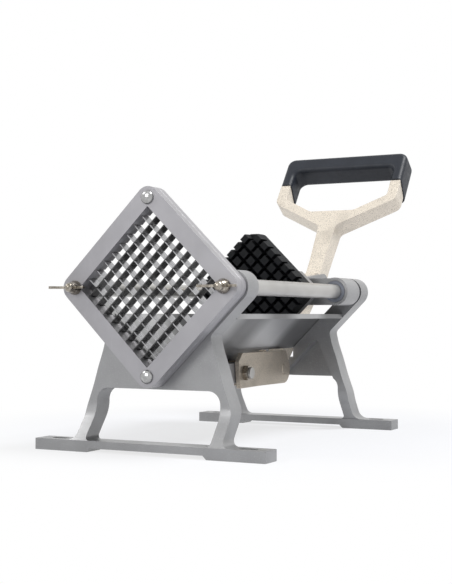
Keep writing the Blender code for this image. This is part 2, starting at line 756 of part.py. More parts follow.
def rear_stand(root):
    """The stand under the carriage, notched for the lever's lower arm."""
    body, view = stand("rear_stand", root, REAR_STAND_Y, -1.0)
    half = LUG_INNER + TROUGH_SLOT_CLEAR
    notch = rectangle(-half, half, REAR_NOTCH_FLOOR_Z, HEAD_Z)
    cut(body, prism(notch, -CUT_OVERRUN, STAND_DEPTH + CUT_OVERRUN, view))
    piece("rear_stand", body, ALUMINIUM, root)


def trough(root):
    """The folded trough, its flanges cut away where it lies in the stands, and slotted for the lever."""
    under = TROUGH_TOP_Z - SHEET
    rise = TROUGH_TOP_Z - HEAD_Z
    fold_x = TROUGH_HALF + rise - SHEET
    right = [
        (0.0, HEAD_Z - TROUGH_INNER_HALF),
        (TROUGH_INNER_HALF + rise, TROUGH_TOP_Z),
        (FLANGE_REACH, TROUGH_TOP_Z),
        (FLANGE_REACH, TROUGH_TOP_Z - FLANGE_LIP),
        (FLANGE_REACH - SHEET, TROUGH_TOP_Z - FLANGE_LIP),
        (FLANGE_REACH - SHEET, under),
        (fold_x, under),
        (0.0, HEAD_Z - TROUGH_HALF),
    ]
    front = STAND_Y + TROUGH_END_CLEAR
    rear = REAR_STAND_Y - TROUGH_END_CLEAR
    body = solid(prism(mirrored(right), front, rear, front_view))
    inner_front = STAND_Y + STAND_DEPTH + GAP
    inner_rear = REAR_STAND_Y - STAND_DEPTH - GAP
    low = TROUGH_TOP_Z - FLANGE_LIP - CUT_OVERRUN
    high = TROUGH_TOP_Z + CUT_OVERRUN
    keep = fold_x + GAP / 2.0
    far = FLANGE_REACH + CUT_OVERRUN
    for start, end in ((front - CUT_OVERRUN, inner_front), (inner_rear, rear + CUT_OVERRUN)):
        for span in ((-far, -keep), (keep, far)):
            cut(body, prism(rectangle(*span, low, high), start, end, front_view))
    half = LEVER_ARM_HALF + TROUGH_SLOT_CLEAR
    mouth = rear - TROUGH_SLOT_START + half
    slot = arc((0.0, mouth), half, math.pi, math.tau, END_STEPS)
    slot += [(half, rear + CUT_OVERRUN), (-half, rear + CUT_OVERRUN)]
    bottom = HEAD_Z - TROUGH_HALF
    cut(body, prism(slot, bottom - CUT_OVERRUN, bottom + half + 2.0 * SHEET * ROOT_TWO, top_view))
    piece("trough", body, SHEET_STEEL, root)


def pad_outline():
    """The casting's pad behind the pusher block: a diamond with its corners and its top cut off."""
    half = PUSHER_HALF_SIDE * ROOT_TWO - PAD_INSET * ROOT_TWO
    corner = PUSHER_CORNER - PAD_INSET
    right = [
        (0.0, HEAD_Z - corner),
        (half - corner, HEAD_Z - corner),
        (corner, HEAD_Z - (half - corner)),
        (corner, HEAD_Z + (half - corner)),
        (half - PAD_ABOVE_HEAD, HEAD_Z + PAD_ABOVE_HEAD),
        (0.0, HEAD_Z + PAD_ABOVE_HEAD),
    ]
    return mirrored(right)


def lug_outline():
    """One lug of the carriage seen from the side, from the crossbar back to its round end."""
    low = HEAD_Z - SLEEVE_RADIUS + CROSSBAR_INSET * 2.0
    high = HEAD_Z + SLEEVE_RADIUS - CROSSBAR_INSET * 2.0
    start = CROSSBAR_REAR_Y - JOIN_SINK
    end = arc(LEVER_PIVOT, LUG_END_RADIUS, -math.pi / 2.0, math.pi / 2.0, END_STEPS)
    return [(start, low), *end, (start, high)]


def carriage(root):
    """The sliding casting: pad, hub, crossbar, sleeves on the rods, and two lugs for the lever."""
    low = HEAD_Z - SLEEVE_RADIUS + CROSSBAR_INSET
    high = HEAD_Z + SLEEVE_RADIUS - CROSSBAR_INSET
    bore = BUSH_RADIUS + GAP
    wrap = (bore + SLEEVE_RADIUS) / 2.0
    hollow_end = arc((ROD_X, HEAD_Z), wrap, -math.pi / 2.0, -math.pi * 1.5, END_STEPS)
    bar = mirrored([(0.0, low), (ROD_X, low), *hollow_end, (ROD_X, high), (0.0, high)])
    body = solid(prism(bar, SLEEVE_Y + CROSSBAR_INSET, CROSSBAR_REAR_Y, front_view))
    rear = SLEEVE_Y + SLEEVE_LENGTH
    tube = [(bore, SLEEVE_Y), (SLEEVE_RADIUS, SLEEVE_Y), (SLEEVE_RADIUS, rear), (bore, rear)]
    for place in rod_places():
        join(body, turned(tube, place, front_view, hollow=True))
    join(body, prism(pad_outline(), PAD_Y, PAD_Y + PAD_DEPTH, front_view))
    hub = rectangle(-HUB_HALF_WIDTH, HUB_HALF_WIDTH, low + CROSSBAR_INSET, high - CROSSBAR_INSET)
    join(body, prism(hub, PAD_Y + PAD_DEPTH - JOIN_SINK, SLEEVE_Y + JOIN_SINK, front_view))
    for side in (-1.0, 1.0):
        span = sorted((side * LUG_INNER, side * LUG_OUTER))
        join(body, prism(lug_outline(), *span, side_view))
    far = LUG_OUTER + CUT_OVERRUN
    cut(body, round_bar(LEVER_PIVOT, PIN_RADIUS + GAP, -far, far, side_view))
    for place in pusher_screw_places():
        span = (PAD_Y - CUT_OVERRUN, PAD_Y + PAD_DEPTH + CUT_OVERRUN)
        cut(body, round_bar(place, PUSHER_SCREW_RADIUS + GAP, *span, front_view))
    piece("carriage", body, ALUMINIUM, root)


def bushes(root):
    """The plain bushes pressed into the sleeves, which run on the rods."""
    near = SLEEVE_Y - BUSH_PROUD
    far = SLEEVE_Y + SLEEVE_LENGTH + BUSH_PROUD
    inner = ROD_RADIUS + GAP
    profile = [(inner, near), (BUSH_RADIUS, near), (BUSH_RADIUS, far), (inner, far)]
    for name, place in zip(("bush_left", "bush_right"), rod_places()):
        bush = turned(profile, place, front_view, hollow=True)
        piece(name, solid(bush), BUSH_PLASTIC, root)


def pusher_screw_places():
    """The screws that hold the block to the pad, clear of the hub."""
    places = []
    for share_x, share_z in PUSHER_SCREW_SHARES:
        for side in (-1.0, 1.0):
            places.append((side * PUSHER_CORNER * share_x, HEAD_Z + PUSHER_CORNER * share_z))
    return places


def stud_edges():
    """The edges of the studs across the block: one stud for each gap between the blades."""
    edges = []
    for index in range(BLADES_EACH_WAY + 1):
        middle = (index - BLADES_EACH_WAY / 2.0) * BLADE_PITCH
        edges.append(max(middle - STUD_BLOCK_WIDTH / 2.0, -PUSHER_HALF_SIDE))
        edges.append(min(middle + STUD_BLOCK_WIDTH / 2.0, PUSHER_HALF_SIDE))
    return edges


def pusher_block(root):
    """The moulded block: a grid of faces whose stud cells are drawn out forward with a taper."""
    bm = bmesh.new()
    edges = stud_edges()
    last = len(edges) - 1
    grid = {}
    for column, along in enumerate(edges):
        for row, across in enumerate(edges):
            across_head, up = turned_to_diamond(along, across)
            grid[column, row] = bm.verts.new((across_head, PUSHER_BASE_Y, up))
    studs = []
    for column in range(last):
        for row in range(last):
            ring = ((column, row), (column + 1, row), (column + 1, row + 1), (column, row + 1))
            face = bm.faces.new([grid[spot] for spot in ring])
            corner_cell = column in (0, last - 1) and row in (0, last - 1)
            if column % 2 == 0 and row % 2 == 0 and not corner_cell:
                studs.append(face)
    base = bmesh.ops.extrude_face_region(bm, geom=bm.faces[:])["geom"]
    backs = [item for item in base if isinstance(item, bmesh.types.BMFace)]
    back_verts = [item for item in base if isinstance(item, bmesh.types.BMVert)]
    bmesh.ops.translate(bm, verts=back_verts, vec=(0.0, PUSHER_BASE, 0.0))
    bmesh.ops.dissolve_faces(bm, faces=backs)
    drawn = bmesh.ops.extrude_discrete_faces(bm, faces=studs)["faces"]
    for face in drawn:
        middle = face.calc_center_median()
        for vert in face.verts:
            vert.co = middle + (vert.co - middle) * STUD_TOP_SHARE
            vert.co.y -= STUD_BLOCK_HEIGHT
    face_outward(bm)
    body = solid(bm)
    reach = PUSHER_HALF_SIDE * ROOT_TWO + CUT_OVERRUN
    front = PUSHER_BASE_Y - STUD_BLOCK_HEIGHT - CUT_OVERRUN
    rear = PUSHER_BASE_Y + PUSHER_BASE + CUT_OVERRUN
    for facing in range(4):
        turn = facing * math.pi / 2.0
        strip = rectangle(PUSHER_CORNER, reach, -PUSHER_CORNER, PUSHER_CORNER)
        spun = []
        for out, along in strip:
            across = out * math.cos(turn) - along * math.sin(turn)
            up = out * math.sin(turn) + along * math.cos(turn)
            spun.append((across, HEAD_Z + up))
        cut(body, prism(spun, front, rear, front_view))
    deep = PUSHER_BASE_Y + PUSHER_BASE - PUSHER_SCREW_BITE - GAP
    for place in pusher_screw_places():
        cut(body, round_bar(place, PUSHER_SCREW_RADIUS + GAP, deep, rear, front_view))
    piece("pusher_block", body, PUSHER_PLASTIC, root)


def pusher_screws(root):
    """The screws through the pad into the block."""
    seat = PAD_Y + PAD_DEPTH + GAP
    tip = PUSHER_BASE_Y + PUSHER_BASE - PUSHER_SCREW_BITE
    crown = dome(PUSHER_SCREW_HEAD_RADIUS, PUSHER_SCREW_HEAD_HEIGHT, seat, 1.0)
    profile = [(0.0, tip), (PUSHER_SCREW_RADIUS, tip), (PUSHER_SCREW_RADIUS, seat), *crown]
    for number, place in enumerate(pusher_screw_places(), 1):
        piece(f"pusher_screw_{number}", solid(turned(profile, place, front_view)), SATIN_STEEL, root)


def bolt_profile(head_radius, head_depth, shank_radius, seat, tip, way):
    """A headed pin along X: a chamfered head outside its seat, and a shank to its tip."""
    top = seat - way * head_depth
    return [
        (0.0, top),
        (head_radius - head_depth / 4.0, top),
        (head_radius, top + way * head_depth / 4.0),
        (head_radius, seat),
        (shank_radius, seat),
        (shank_radius, tip),
        (0.0, tip),
    ]


def lever_pin(root):
    """The pin that the lever turns on in the carriage, and its nut."""
    seat = LUG_OUTER + GAP
    tip = seat + PIN_NUT_DEPTH + PIN_PAST_NUT
    profile = bolt_profile(PIN_HEAD_RADIUS, PIN_HEAD_DEPTH, PIN_RADIUS, -seat, tip, 1.0)
    piece("lever_pin", solid(turned(profile, LEVER_PIVOT, side_view)), SATIN_STEEL, root)
    nut = hex_nut(LEVER_PIVOT, PIN_HEAD_RADIUS, PIN_RADIUS, seat, seat + PIN_NUT_DEPTH, side_view)
    piece("lever_pin_nut", solid(nut), SATIN_STEEL, root)


def dogbone(first, first_radius, second, second_radius, width):
    """A bar with a round boss at each end, as one outline in the side view."""
    run = math.atan2(second[1] - first[1], second[0] - first[0])
    near = math.asin(width / 2.0 / first_radius)
    far = math.asin(width / 2.0 / second_radius)
    outline = arc(first, first_radius, run + near, run + math.tau - near, 2 * END_STEPS)
    return outline + arc(second, second_radius, run - math.pi + far, run + math.pi - far, 2 * END_STEPS)


def grip_end(depth):
    """How far along the lever the grip starts, which is lower at the back."""
    return GRIP_START_S - GRIP_SLANT * (depth + GRIP_FRONT) / GRIP_DEPTH


def yoke_outline():
    """The stem, parallel between the lugs, and its fork, up to where the grip starts."""
    inner = YOKE_HALF_WIDTH - YOKE_ARM
    right = [
        (0.0, 0.0, 0.0),
        (LEVER_HALF, 0.0, 0.0),
        (LEVER_HALF, STEM_PARALLEL_S, 0.0),
        (CROTCH_HALF, CROTCH_S, CROTCH_ROUND),
        (YOKE_HALF_WIDTH, YOKE_OUTER_S, YOKE_ROUND),
        (YOKE_HALF_WIDTH, GRIP_START_S, 0.0),
        (inner, GRIP_START_S, 0.0),
        (inner, YOKE_INNER_S, YOKE_INNER_ROUND),
        (YOKE_FLOOR_HALF, YOKE_FLOOR_S, YOKE_ROUND),
        (0.0, YOKE_FLOOR_S, 0.0),
    ]
    return mirrored(rounded(right))


def core_outline(grow):
    """The hoop inside the grip that closes the fork, grown by a clearance for the grip's cavity."""
    outer = YOKE_HALF_WIDTH + GRIP_WIDER - CORE_WALL + grow
    inner = YOKE_HALF_WIDTH + GRIP_WIDER - GRIP_LEG + CORE_WALL - grow
    top = GRIP_OUTER_S - CORE_WALL + grow
    under = GRIP_INNER_S + CORE_WALL - grow
    outer_round = GRIP_OUTER_ROUND - CORE_WALL + grow
    inner_round = GRIP_INNER_ROUND + CORE_WALL - grow
    right = [
        (0.0, top, 0.0),
        (outer, top, outer_round),
        (outer, CORE_START_S, 0.0),
        (inner, CORE_START_S, 0.0),
        (inner, under, inner_round),
        (0.0, under, 0.0),
    ]
    return mirrored(rounded(right))


def core_span(grow):
    """The depths between which the core, or the cavity round it, lies."""
    middle = GRIP_DEPTH / 2.0 - GRIP_FRONT
    half = CORE_DEPTH / 2.0 + grow
    return middle - half, middle + half


def lever(root):
    """The lever: lower arm, pivot boss, stem, fork and the grip's core in one casting."""

    def yoke_view(across, along, depth):
        """A point of the yoke, its two arms trimmed to the slanting end of the grip."""
        if along > GRIP_START_S - GAP:
            along = grip_end(depth) - GAP
        return lever_view(across, along, depth)

    yoke = prism(yoke_outline(), -LEVER_FACE, LEVER_DEPTH - LEVER_FACE, yoke_view)
    body = solid(yoke)
    arm = dogbone(LEVER_PIVOT, LEVER_BOSS_RADIUS, LINK_END, LEVER_FOOT_RADIUS, LEVER_ARM_WIDTH)
    join(body, prism(arm, -LEVER_ARM_HALF, LEVER_ARM_HALF, side_view))
    join(body, prism(core_outline(0.0), *core_span(0.0), lever_view))
    far = LEVER_HALF + CUT_OVERRUN
    for place in (LEVER_PIVOT, LINK_END):
        cut(body, round_bar(place, PIN_RADIUS + GAP, -far, far, side_view))
    piece("lever", body, NICKEL, root, (0.0, *LEVER_PIVOT))
    pin = round_bar(LINK_END, PIN_RADIUS, -LEVER_ARM_HALF - GAP, LEVER_ARM_HALF + GAP, side_view)
    piece("lever_foot_pin", solid(pin), SATIN_STEEL, root, (0.0, *LEVER_PIVOT))


def grip_layer(inset):
    """The grip's outline seen from the front of the lever, drawn in by an inset at its edges."""
    outer = YOKE_HALF_WIDTH + GRIP_WIDER - inset
    inner = YOKE_HALF_WIDTH + GRIP_WIDER - GRIP_LEG + inset
    right = [
        (0.0, GRIP_OUTER_S - inset, 0.0),
        (outer, GRIP_OUTER_S - inset, GRIP_OUTER_ROUND - inset),
        (outer, GRIP_START_S, 0.0),
        (inner, GRIP_START_S, 0.0),
        (inner, GRIP_INNER_S + inset, GRIP_INNER_ROUND + inset),
        (0.0, GRIP_INNER_S + inset, 0.0),
    ]
    return mirrored(rounded(right))


def grip(root):
    """The moulded grip, a stack of outlines with bevelled edges, hollow for the core."""
    back = GRIP_DEPTH - GRIP_FRONT
    depths = (-GRIP_FRONT, -GRIP_FRONT + GRIP_EDGE, back - GRIP_EDGE, back)
    insets = (GRIP_EDGE, 0.0, 0.0, GRIP_EDGE)
    bm = bmesh.new()
    layers = []
    for depth, inset in zip(depths, insets):
        ring = []
        for across, along in grip_layer(inset):
            if along < GRIP_START_S + GAP:
                along = grip_end(depth)
            ring.append(bm.verts.new(lever_view(across, along, depth)))
        layers.append(ring)
    for near, far in zip(layers, layers[1:]):
        for index in range(len(near)):
            before = index - 1
            bm.faces.new((near[before], near[index], far[index], far[before]))
    bm.faces.new(layers[0])
    bm.faces.new(layers[-1])
    face_outward(bm)
    body = solid(bm)
    cut(body, prism(core_outline(GAP), *core_span(GAP), lever_view))
    piece("grip", body, GRIP_PLASTIC, root, (0.0, *LEVER_PIVOT))


def anchor_screw_places():
    """The anchor's two screws into the front stand."""
    return ((-ANCHOR_SCREW_X, LINK_PIVOT[1]), (ANCHOR_SCREW_X, LINK_PIVOT[1]))


def anchor(root):
    """The bracket on the front stand that holds the link's fixed pivot, and its screws."""
    seat = STAND_Y + STAND_DEPTH + GAP
    face = seat + ANCHOR_FLANGE_DEPTH
    low = LINK_PIVOT[1] - ANCHOR_FLANGE_DROP
    high = LINK_PIVOT[1] + ANCHOR_FLANGE_RISE
    flange = rectangle(-ANCHOR_FLANGE_HALF, ANCHOR_FLANGE_HALF, low, high)
    body = solid(prism(flange, seat, face, front_view))
    tongue = arc(LINK_PIVOT, ANCHOR_TONGUE_RADIUS, -math.pi / 2.0, math.pi / 2.0, END_STEPS)
    start = seat + ANCHOR_FLANGE_DEPTH / 2.0
    tongue += [(start, high - GAP), (start, low + GAP)]
    join(body, prism(tongue, -ANCHOR_TONGUE_HALF, ANCHOR_TONGUE_HALF, side_view))
    far = ANCHOR_TONGUE_HALF + CUT_OVERRUN
    cut(body, round_bar(LINK_PIVOT, LINK_PIN_RADIUS + GAP, -far, far, side_view))
    tip = STAND_Y + STAND_DEPTH - ANCHOR_SCREW_BITE
    top = face + GAP
    crown = dome(ANCHOR_SCREW_HEAD_RADIUS, ANCHOR_SCREW_HEAD_HEIGHT, top, 1.0)
    profile = [(0.0, tip), (ANCHOR_SCREW_RADIUS, tip), (ANCHOR_SCREW_RADIUS, top), *crown]
    for side, place in zip(("left", "right"), anchor_screw_places()):
        hole = ANCHOR_SCREW_RADIUS + GAP
        cut(body, round_bar(place, hole, seat - CUT_OVERRUN, face + CUT_OVERRUN, front_view))
        piece(f"anchor_screw_{side}", solid(turned(profile, place, front_view)), SATIN_STEEL, root)
    piece("anchor_bracket", body, ALUMINIUM, root)


def cheek_outline():
    """One cheek of the link seen from the side: a chamfered nose and a round rear end."""
    front = LINK_PIVOT[0] - LINK_NOSE
    low = LINK_PIVOT[1] - LINK_RADIUS
    high = LINK_PIVOT[1] + LINK_RADIUS
    outline = [(front + LINK_NOSE_CHAMFER, high), (front, high - LINK_NOSE_CHAMFER), (front, low)]
    return outline + arc(LINK_END, LINK_RADIUS, -math.pi / 2.0, math.pi / 2.0, END_STEPS)


def link(root):
    """The link: two cheeks joined by a web, with a bore at each end, and its two shoulder screws."""
    inner = LUG_INNER
    outer = inner + LINK_CHEEK
    pivot = (0.0, *LINK_PIVOT)
    body = solid(prism(cheek_outline(), inner, outer, side_view))
    join_x = inner + LINK_CHEEK / 2.0
    low = LINK_PIVOT[1] - LINK_RADIUS + GAP
    web = rectangle(LINK_PIVOT[0] + LINK_WEB_START, LINK_PIVOT[0] + LINK_WEB_END, low, low + LINK_WEB_THICKNESS)
    join(body, prism(web, -join_x, join_x, side_view))
    join(body, prism(cheek_outline(), -outer, -inner, side_view))
    far = outer + CUT_OVERRUN
    for place in (LINK_PIVOT, LINK_END):
        cut(body, round_bar(place, LINK_PIN_RADIUS + GAP, -far, far, side_view))
    piece("link", body, NICKEL, root, pivot)
    seat = outer + GAP
    for name, side in (("left", -1.0), ("right", 1.0)):
        tip = side * (inner + GAP)
        profile = bolt_profile(LINK_HEAD_RADIUS, LINK_HEAD_DEPTH, LINK_PIN_RADIUS, side * seat, tip, -side)
        piece(f"link_screw_{name}", solid(turned(profile, LINK_END, side_view)), SATIN_STEEL, root, pivot)
    tip = seat + LINK_NUT_DEPTH + PIN_PAST_NUT
    profile = bolt_profile(LINK_HEAD_RADIUS, LINK_HEAD_DEPTH, LINK_PIN_RADIUS, -seat, tip, 1.0)
    piece("anchor_bolt", solid(turned(profile, LINK_PIVOT, side_view)), SATIN_STEEL, root)
    nut = hex_nut(LINK_PIVOT, LINK_HEAD_RADIUS, LINK_PIN_RADIUS, seat, seat + LINK_NUT_DEPTH, side_view)
    piece("anchor_bolt_nut", solid(nut), SATIN_STEEL, root)


def centre_root(root):
    """Put the origin under the middle of everything that was built."""
    reach = []
    for item in root.children:
        reach += [item.location.y + vert.co.y for vert in item.data.vertices]
    root.location.y = -(min(reach) + max(reach)) / 2.0


def main():
    """Build the whole cutter."""
    clear_scene()
    root = bpy.data.objects.new("cutter_root", None)
    bpy.context.scene.collection.objects.link(root)
    front_plate(root)
    blade_holder(root)
    blades(root)
    head_fasteners(root)
    wing_nuts(root)
    guide_rods(root)
    front_stand(root)
    rear_stand(root)
    trough(root)
    carriage(root)
    bushes(root)
    pusher_block(root)
    pusher_screws(root)
    lever_pin(root)
    lever(root)
    grip(root)
    anchor(root)
    link(root)
    centre_root(root)


main()
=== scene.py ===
"""Looks of a hand-operated french fry cutter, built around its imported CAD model.

Every node is rebuilt finer from the same sizes as its solid: castings, sheet and mouldings with rounded
edges, and turned rods, screws, nuts and bushes. Outlines are drawn in the design's own frame, X right,
Y back from the front plate's face and Z up, and moved back as the frame has them. Lengths are in metres.
"""
import json
import math

import bmesh
import bpy
from mathutils import Matrix, Vector


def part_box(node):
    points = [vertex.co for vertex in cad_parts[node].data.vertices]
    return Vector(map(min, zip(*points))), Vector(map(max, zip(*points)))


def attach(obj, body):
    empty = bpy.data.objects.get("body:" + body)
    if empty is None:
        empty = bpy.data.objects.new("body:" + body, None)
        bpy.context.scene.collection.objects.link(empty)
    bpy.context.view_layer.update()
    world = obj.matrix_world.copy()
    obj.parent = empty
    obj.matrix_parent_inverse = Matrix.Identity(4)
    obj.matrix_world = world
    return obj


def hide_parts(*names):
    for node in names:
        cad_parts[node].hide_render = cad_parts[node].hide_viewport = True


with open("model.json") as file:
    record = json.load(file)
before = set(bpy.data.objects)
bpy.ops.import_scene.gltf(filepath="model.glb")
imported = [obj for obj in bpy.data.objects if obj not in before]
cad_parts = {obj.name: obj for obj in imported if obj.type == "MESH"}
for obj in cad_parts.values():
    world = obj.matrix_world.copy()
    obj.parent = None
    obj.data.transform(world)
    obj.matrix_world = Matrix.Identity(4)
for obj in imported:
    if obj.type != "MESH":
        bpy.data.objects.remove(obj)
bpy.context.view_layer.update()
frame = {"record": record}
BODY = {node: body for body, members in frame["record"]["behaviour"]["bodies"].items() for node in members}
SLOT = {part["node"]: part["material_slot"] for part in frame["record"]["subparts"]}
FACE_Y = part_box("front_plate")[0].y

MM = 0.001
ROOT_TWO = math.sqrt(2.0)
QUARTER = math.pi / 2.0

# How round things are drawn
ROUND_SIDES = 64
SMALL_SIDES = 40
SMALL_RADIUS = 6.0 * MM
EAR_STEPS = 44
CORNER_STEPS = 10
DOME_STEPS = 12
END_STEPS = 28
GRIP_EDGE_STEPS = 6
LEG_KICK_SLICES = 16
HEX_SIDES = 6

# Clearances that many pieces share
GAP = 0.3 * MM
CUT_OVERRUN = 2.0 * MM
JOIN_SINK = 2.0 * MM

# Domed screws: radius of the shank, radius of the head and its height
HEAD_SCREW = (2.5 * MM, 5.3 * MM, 3.4 * MM)
PUSHER_SCREW = (2.5 * MM, 4.4 * MM, 2.8 * MM)
ANCHOR_SCREW = (2.3 * MM, 4.0 * MM, 2.6 * MM)
SCREW_BITE = 5.0 * MM

# Pins with a chamfered head and a nut: radius of the shank, radius and depth of the head, depth of the nut
LEVER_PIN = (5.0 * MM, 8.0 * MM, 3.2 * MM, 5.5 * MM)
ANCHOR_BOLT = (4.7 * MM, 7.0 * MM, 3.0 * MM, 4.5 * MM)
PIN_PAST_NUT = 2.0 * MM
HEAD_CHAMFER_SHARE = 0.25

# Cutting opening: a square stood on its corner
HEAD_Z = 126.5 * MM
OPENING_SIDE = 86.0 * MM
HALF_DIAGONAL = OPENING_SIDE / ROOT_TWO

# Front plate and the blade holder behind it
PLATE_SIDE = 113.4 * MM
PLATE_CORNER = 10.0 * MM
PLATE_DEPTH = 7.0 * MM
HOLDER_DEPTH = 7.4 * MM
HOLDER_Y = PLATE_DEPTH + GAP
HEAD_SCREW_OUT = 6.7 * MM
HEAD_SCREW_TIP = 1.4 * MM
HEAD_NUT_RADIUS = 4.6 * MM
HEAD_NUT_DEPTH = 4.0 * MM
NUT_POCKET_RADIUS = 5.3 * MM
NUT_POCKET_DEPTH = 7.0 * MM

# Blade grid: two sets of blades that interlock by half-lap slots
BLADES_EACH_WAY = 8
BLADE_PITCH = OPENING_SIDE / (BLADES_EACH_WAY + 1)
BLADE_THICKNESS = 0.7 * MM
BLADE_FRONT = 3.0 * MM
BLADE_REAR = 13.0 * MM
BLADE_END = 4.0 * MM
BLADE_SLOT = BLADE_THICKNESS + 2.0 * GAP

# Guide rods with reduced ends that pass through the stands and the head
ROD_X = HALF_DIAGONAL + 4.0 * MM
ROD_RADIUS = 6.25 * MM
STUD_RADIUS = 3.0 * MM
STUD_HOLE_RADIUS = STUD_RADIUS + GAP
STUD_FRONT = 8.0 * MM
STUD_CHAMFER = 0.8 * MM
ROD_NUT_RADIUS = 6.5 * MM
ROD_NUT_DEPTH = 5.5 * MM
STUD_PAST_NUT = 2.5 * MM

# Wing nuts that clamp the head: a conical hub with a ball tip, and two thin wings
WING_HUB_RADIUS = 5.6 * MM
WING_HUB_BASE = 2.2 * MM
WING_BALL_RADIUS = 3.7 * MM
WING_HUB_LENGTH = 12.0 * MM
WING_NECK_ANGLE = math.radians(20.0)
WING_BORE_DEPTH = 8.6 * MM
WING_THICKNESS = 2.0 * MM
# Corners of a wing in millimetres: out from the axis, forward from the plate, and the corner's round
WING_CORNERS = ((2.0, 3.0, 0.0), (6.5, 4.6, 2.0), (16.0, 10.7, 1.3))
WING_CORNERS += ((16.0, 15.0, 1.3), (6.5, 9.0, 2.0), (2.0, 8.0, 0.0))

# Stands: an open V with an ear each side, a pocketed web, and two legs that kick outward to the foot
STAND_DEPTH = 18.0 * MM
STAND_Y = HOLDER_Y + HOLDER_DEPTH + GAP
REAR_STAND_Y = STAND_Y + 2.0 * STAND_DEPTH + 217.0 * MM
EAR_RADIUS = 12.5 * MM
V_FACING = math.radians(225.0)
EAR_END = math.radians(-45.0)
WAIST_DROP = 36.5 * MM
WAIST_ROUND = 5.0 * MM
LEG_OUTER_X = 63.5 * MM
LEG_THICKNESS = 9.2 * MM
LEG_KNEE_Z = 34.0 * MM
LEG_KNEE_ROUND = 20.0 * MM
# Points of a leg's outer edge from waist to knee: shares of the way across and down, and the round there
LEG_EDGE = ((0.145, 0.202, 80.0 * MM), (0.407, 0.436, 150.0 * MM), (0.657, 0.704, 150.0 * MM))
LEG_FOOT_ROUND = 6.5 * MM
LEG_FOOT_INNER_ROUND = 4.0 * MM
LEG_KICK = 17.7 * MM
LEG_KICK_START_Z = 31.0 * MM
LEG_KICK_EASE = 0.3
WEB_BOTTOM_Z = 48.7 * MM
WEB_ROUND = 10.0 * MM
POCKET_DEPTH = 10.0 * MM
POCKET_BAND = 10.5 * MM
POCKET_BELOW_WAIST = 6.0 * MM
POCKET_LEG_RIM = 13.5 * MM
POCKET_ROUND = 3.0 * MM
ANCHOR_BOSS_HALF = 24.0 * MM
FOOT_HALF = 100.0 * MM
FOOT_HEIGHT = 8.8 * MM
FOOT_LIP = 0.3 * MM
FOOT_RAISE = 3.0 * MM
FOOT_PAD_LENGTH = 48.0 * MM
FOOT_SLOT_IN = 18.0 * MM
FOOT_SLOT_LENGTH = 15.0 * MM
FOOT_SLOT_RADIUS = 3.25 * MM
REAR_NOTCH_FLOOR_Z = 66.0 * MM

# Trough: a folded sheet in the V, with a flange each side between the stands
SHEET = 1.5 * MM
TROUGH_TOP_Z = HEAD_Z - 20.1 * MM
FLANGE_REACH = 59.0 * MM
FLANGE_LIP = 4.0 * MM
TROUGH_END_CLEAR = 1.0 * MM
TROUGH_SLOT_START = 91.0 * MM
TROUGH_SLOT_CLEAR = 1.3 * MM

# Carriage: pusher pad, hub, crossbar, two sleeves with bushes, and two lugs for the lever
REST_CLEARANCE = 4.0 * MM
SLEEVE_LENGTH = 30.0 * MM
SLEEVE_RADIUS = 12.5 * MM
BUSH_RADIUS = 9.5 * MM
BUSH_PROUD = 0.5 * MM
CROSSBAR_DEPTH = 24.0 * MM
CROSSBAR_INSET = 0.6 * MM
HUB_HALF_WIDTH = 22.0 * MM
HUB_LENGTH = 11.0 * MM
PAD_DEPTH = 9.7 * MM
PAD_INSET = 0.8 * MM
PAD_ABOVE_HEAD = 18.0 * MM
EAR_CLEARANCE = 0.8 * MM
LUG_THICKNESS = 5.9 * MM
LUG_END_RADIUS = 12.0 * MM
PIVOT_BEHIND_CROSSBAR = 75.0 * MM
PIVOT_ABOVE_HEAD = 7.5 * MM

# Pusher block: a moulded base with a field of studs that enter the blade grid
PUSHER_SLIDE_GAP = 0.7 * MM
PUSHER_BASE = 8.0 * MM
STUD_BLOCK_HEIGHT = 9.0 * MM
STUD_SIDE_CLEARANCE = 0.575 * MM
STUD_BLOCK_WIDTH = BLADE_PITCH - BLADE_THICKNESS - 2.0 * STUD_SIDE_CLEARANCE
STUD_TOP_SHARE = 0.86
PUSHER_CORNER_ROUND = 7.0 * MM
PUSHER_SCREW_SHARES = ((0.62, 0.16), (0.24, -0.55))

# Lever: lower arm, stem, forked yoke and a grip moulded over its core
LEVER_TILT = math.radians(36.5)
LEVER_HALF = 7.75 * MM
LEVER_ARM_HALF = 7.2 * MM
LEVER_ARM_WIDTH = 16.0 * MM
LEVER_BOSS_RADIUS = 13.0 * MM
LEVER_FOOT_RADIUS = 12.5 * MM
LEVER_SIDE_GAP = 0.35 * MM
LEVER_DEPTH = 18.0 * MM
LEVER_FACE = 3.5 * MM
STEM_PARALLEL_S = 30.0 * MM
CROTCH_HALF = 9.5 * MM
CROTCH_S = 77.0 * MM
CROTCH_ROUND = 7.0 * MM
YOKE_HALF_WIDTH = 67.0 * MM
YOKE_ARM = 10.5 * MM
YOKE_OUTER_S = 110.0 * MM
YOKE_INNER_S = 115.5 * MM
YOKE_FLOOR_S = 96.5 * MM
YOKE_FLOOR_HALF = 24.0 * MM
YOKE_ROUND = 9.0 * MM
YOKE_INNER_ROUND = 5.0 * MM
CORE_WALL = 3.0 * MM
CORE_DEPTH = 9.0 * MM
CORE_START_S = 118.0 * MM
GRIP_START_S = 136.0 * MM
GRIP_SLANT = 12.0 * MM
GRIP_INNER_S = 155.0 * MM
GRIP_OUTER_S = 174.0 * MM
GRIP_WIDER = 1.0 * MM
GRIP_LEG = 12.5 * MM
GRIP_FRONT = 5.0 * MM
GRIP_DEPTH = 26.0 * MM
GRIP_OUTER_ROUND = 9.0 * MM
GRIP_INNER_ROUND = 7.0 * MM
GRIP_EDGE = 5.0 * MM

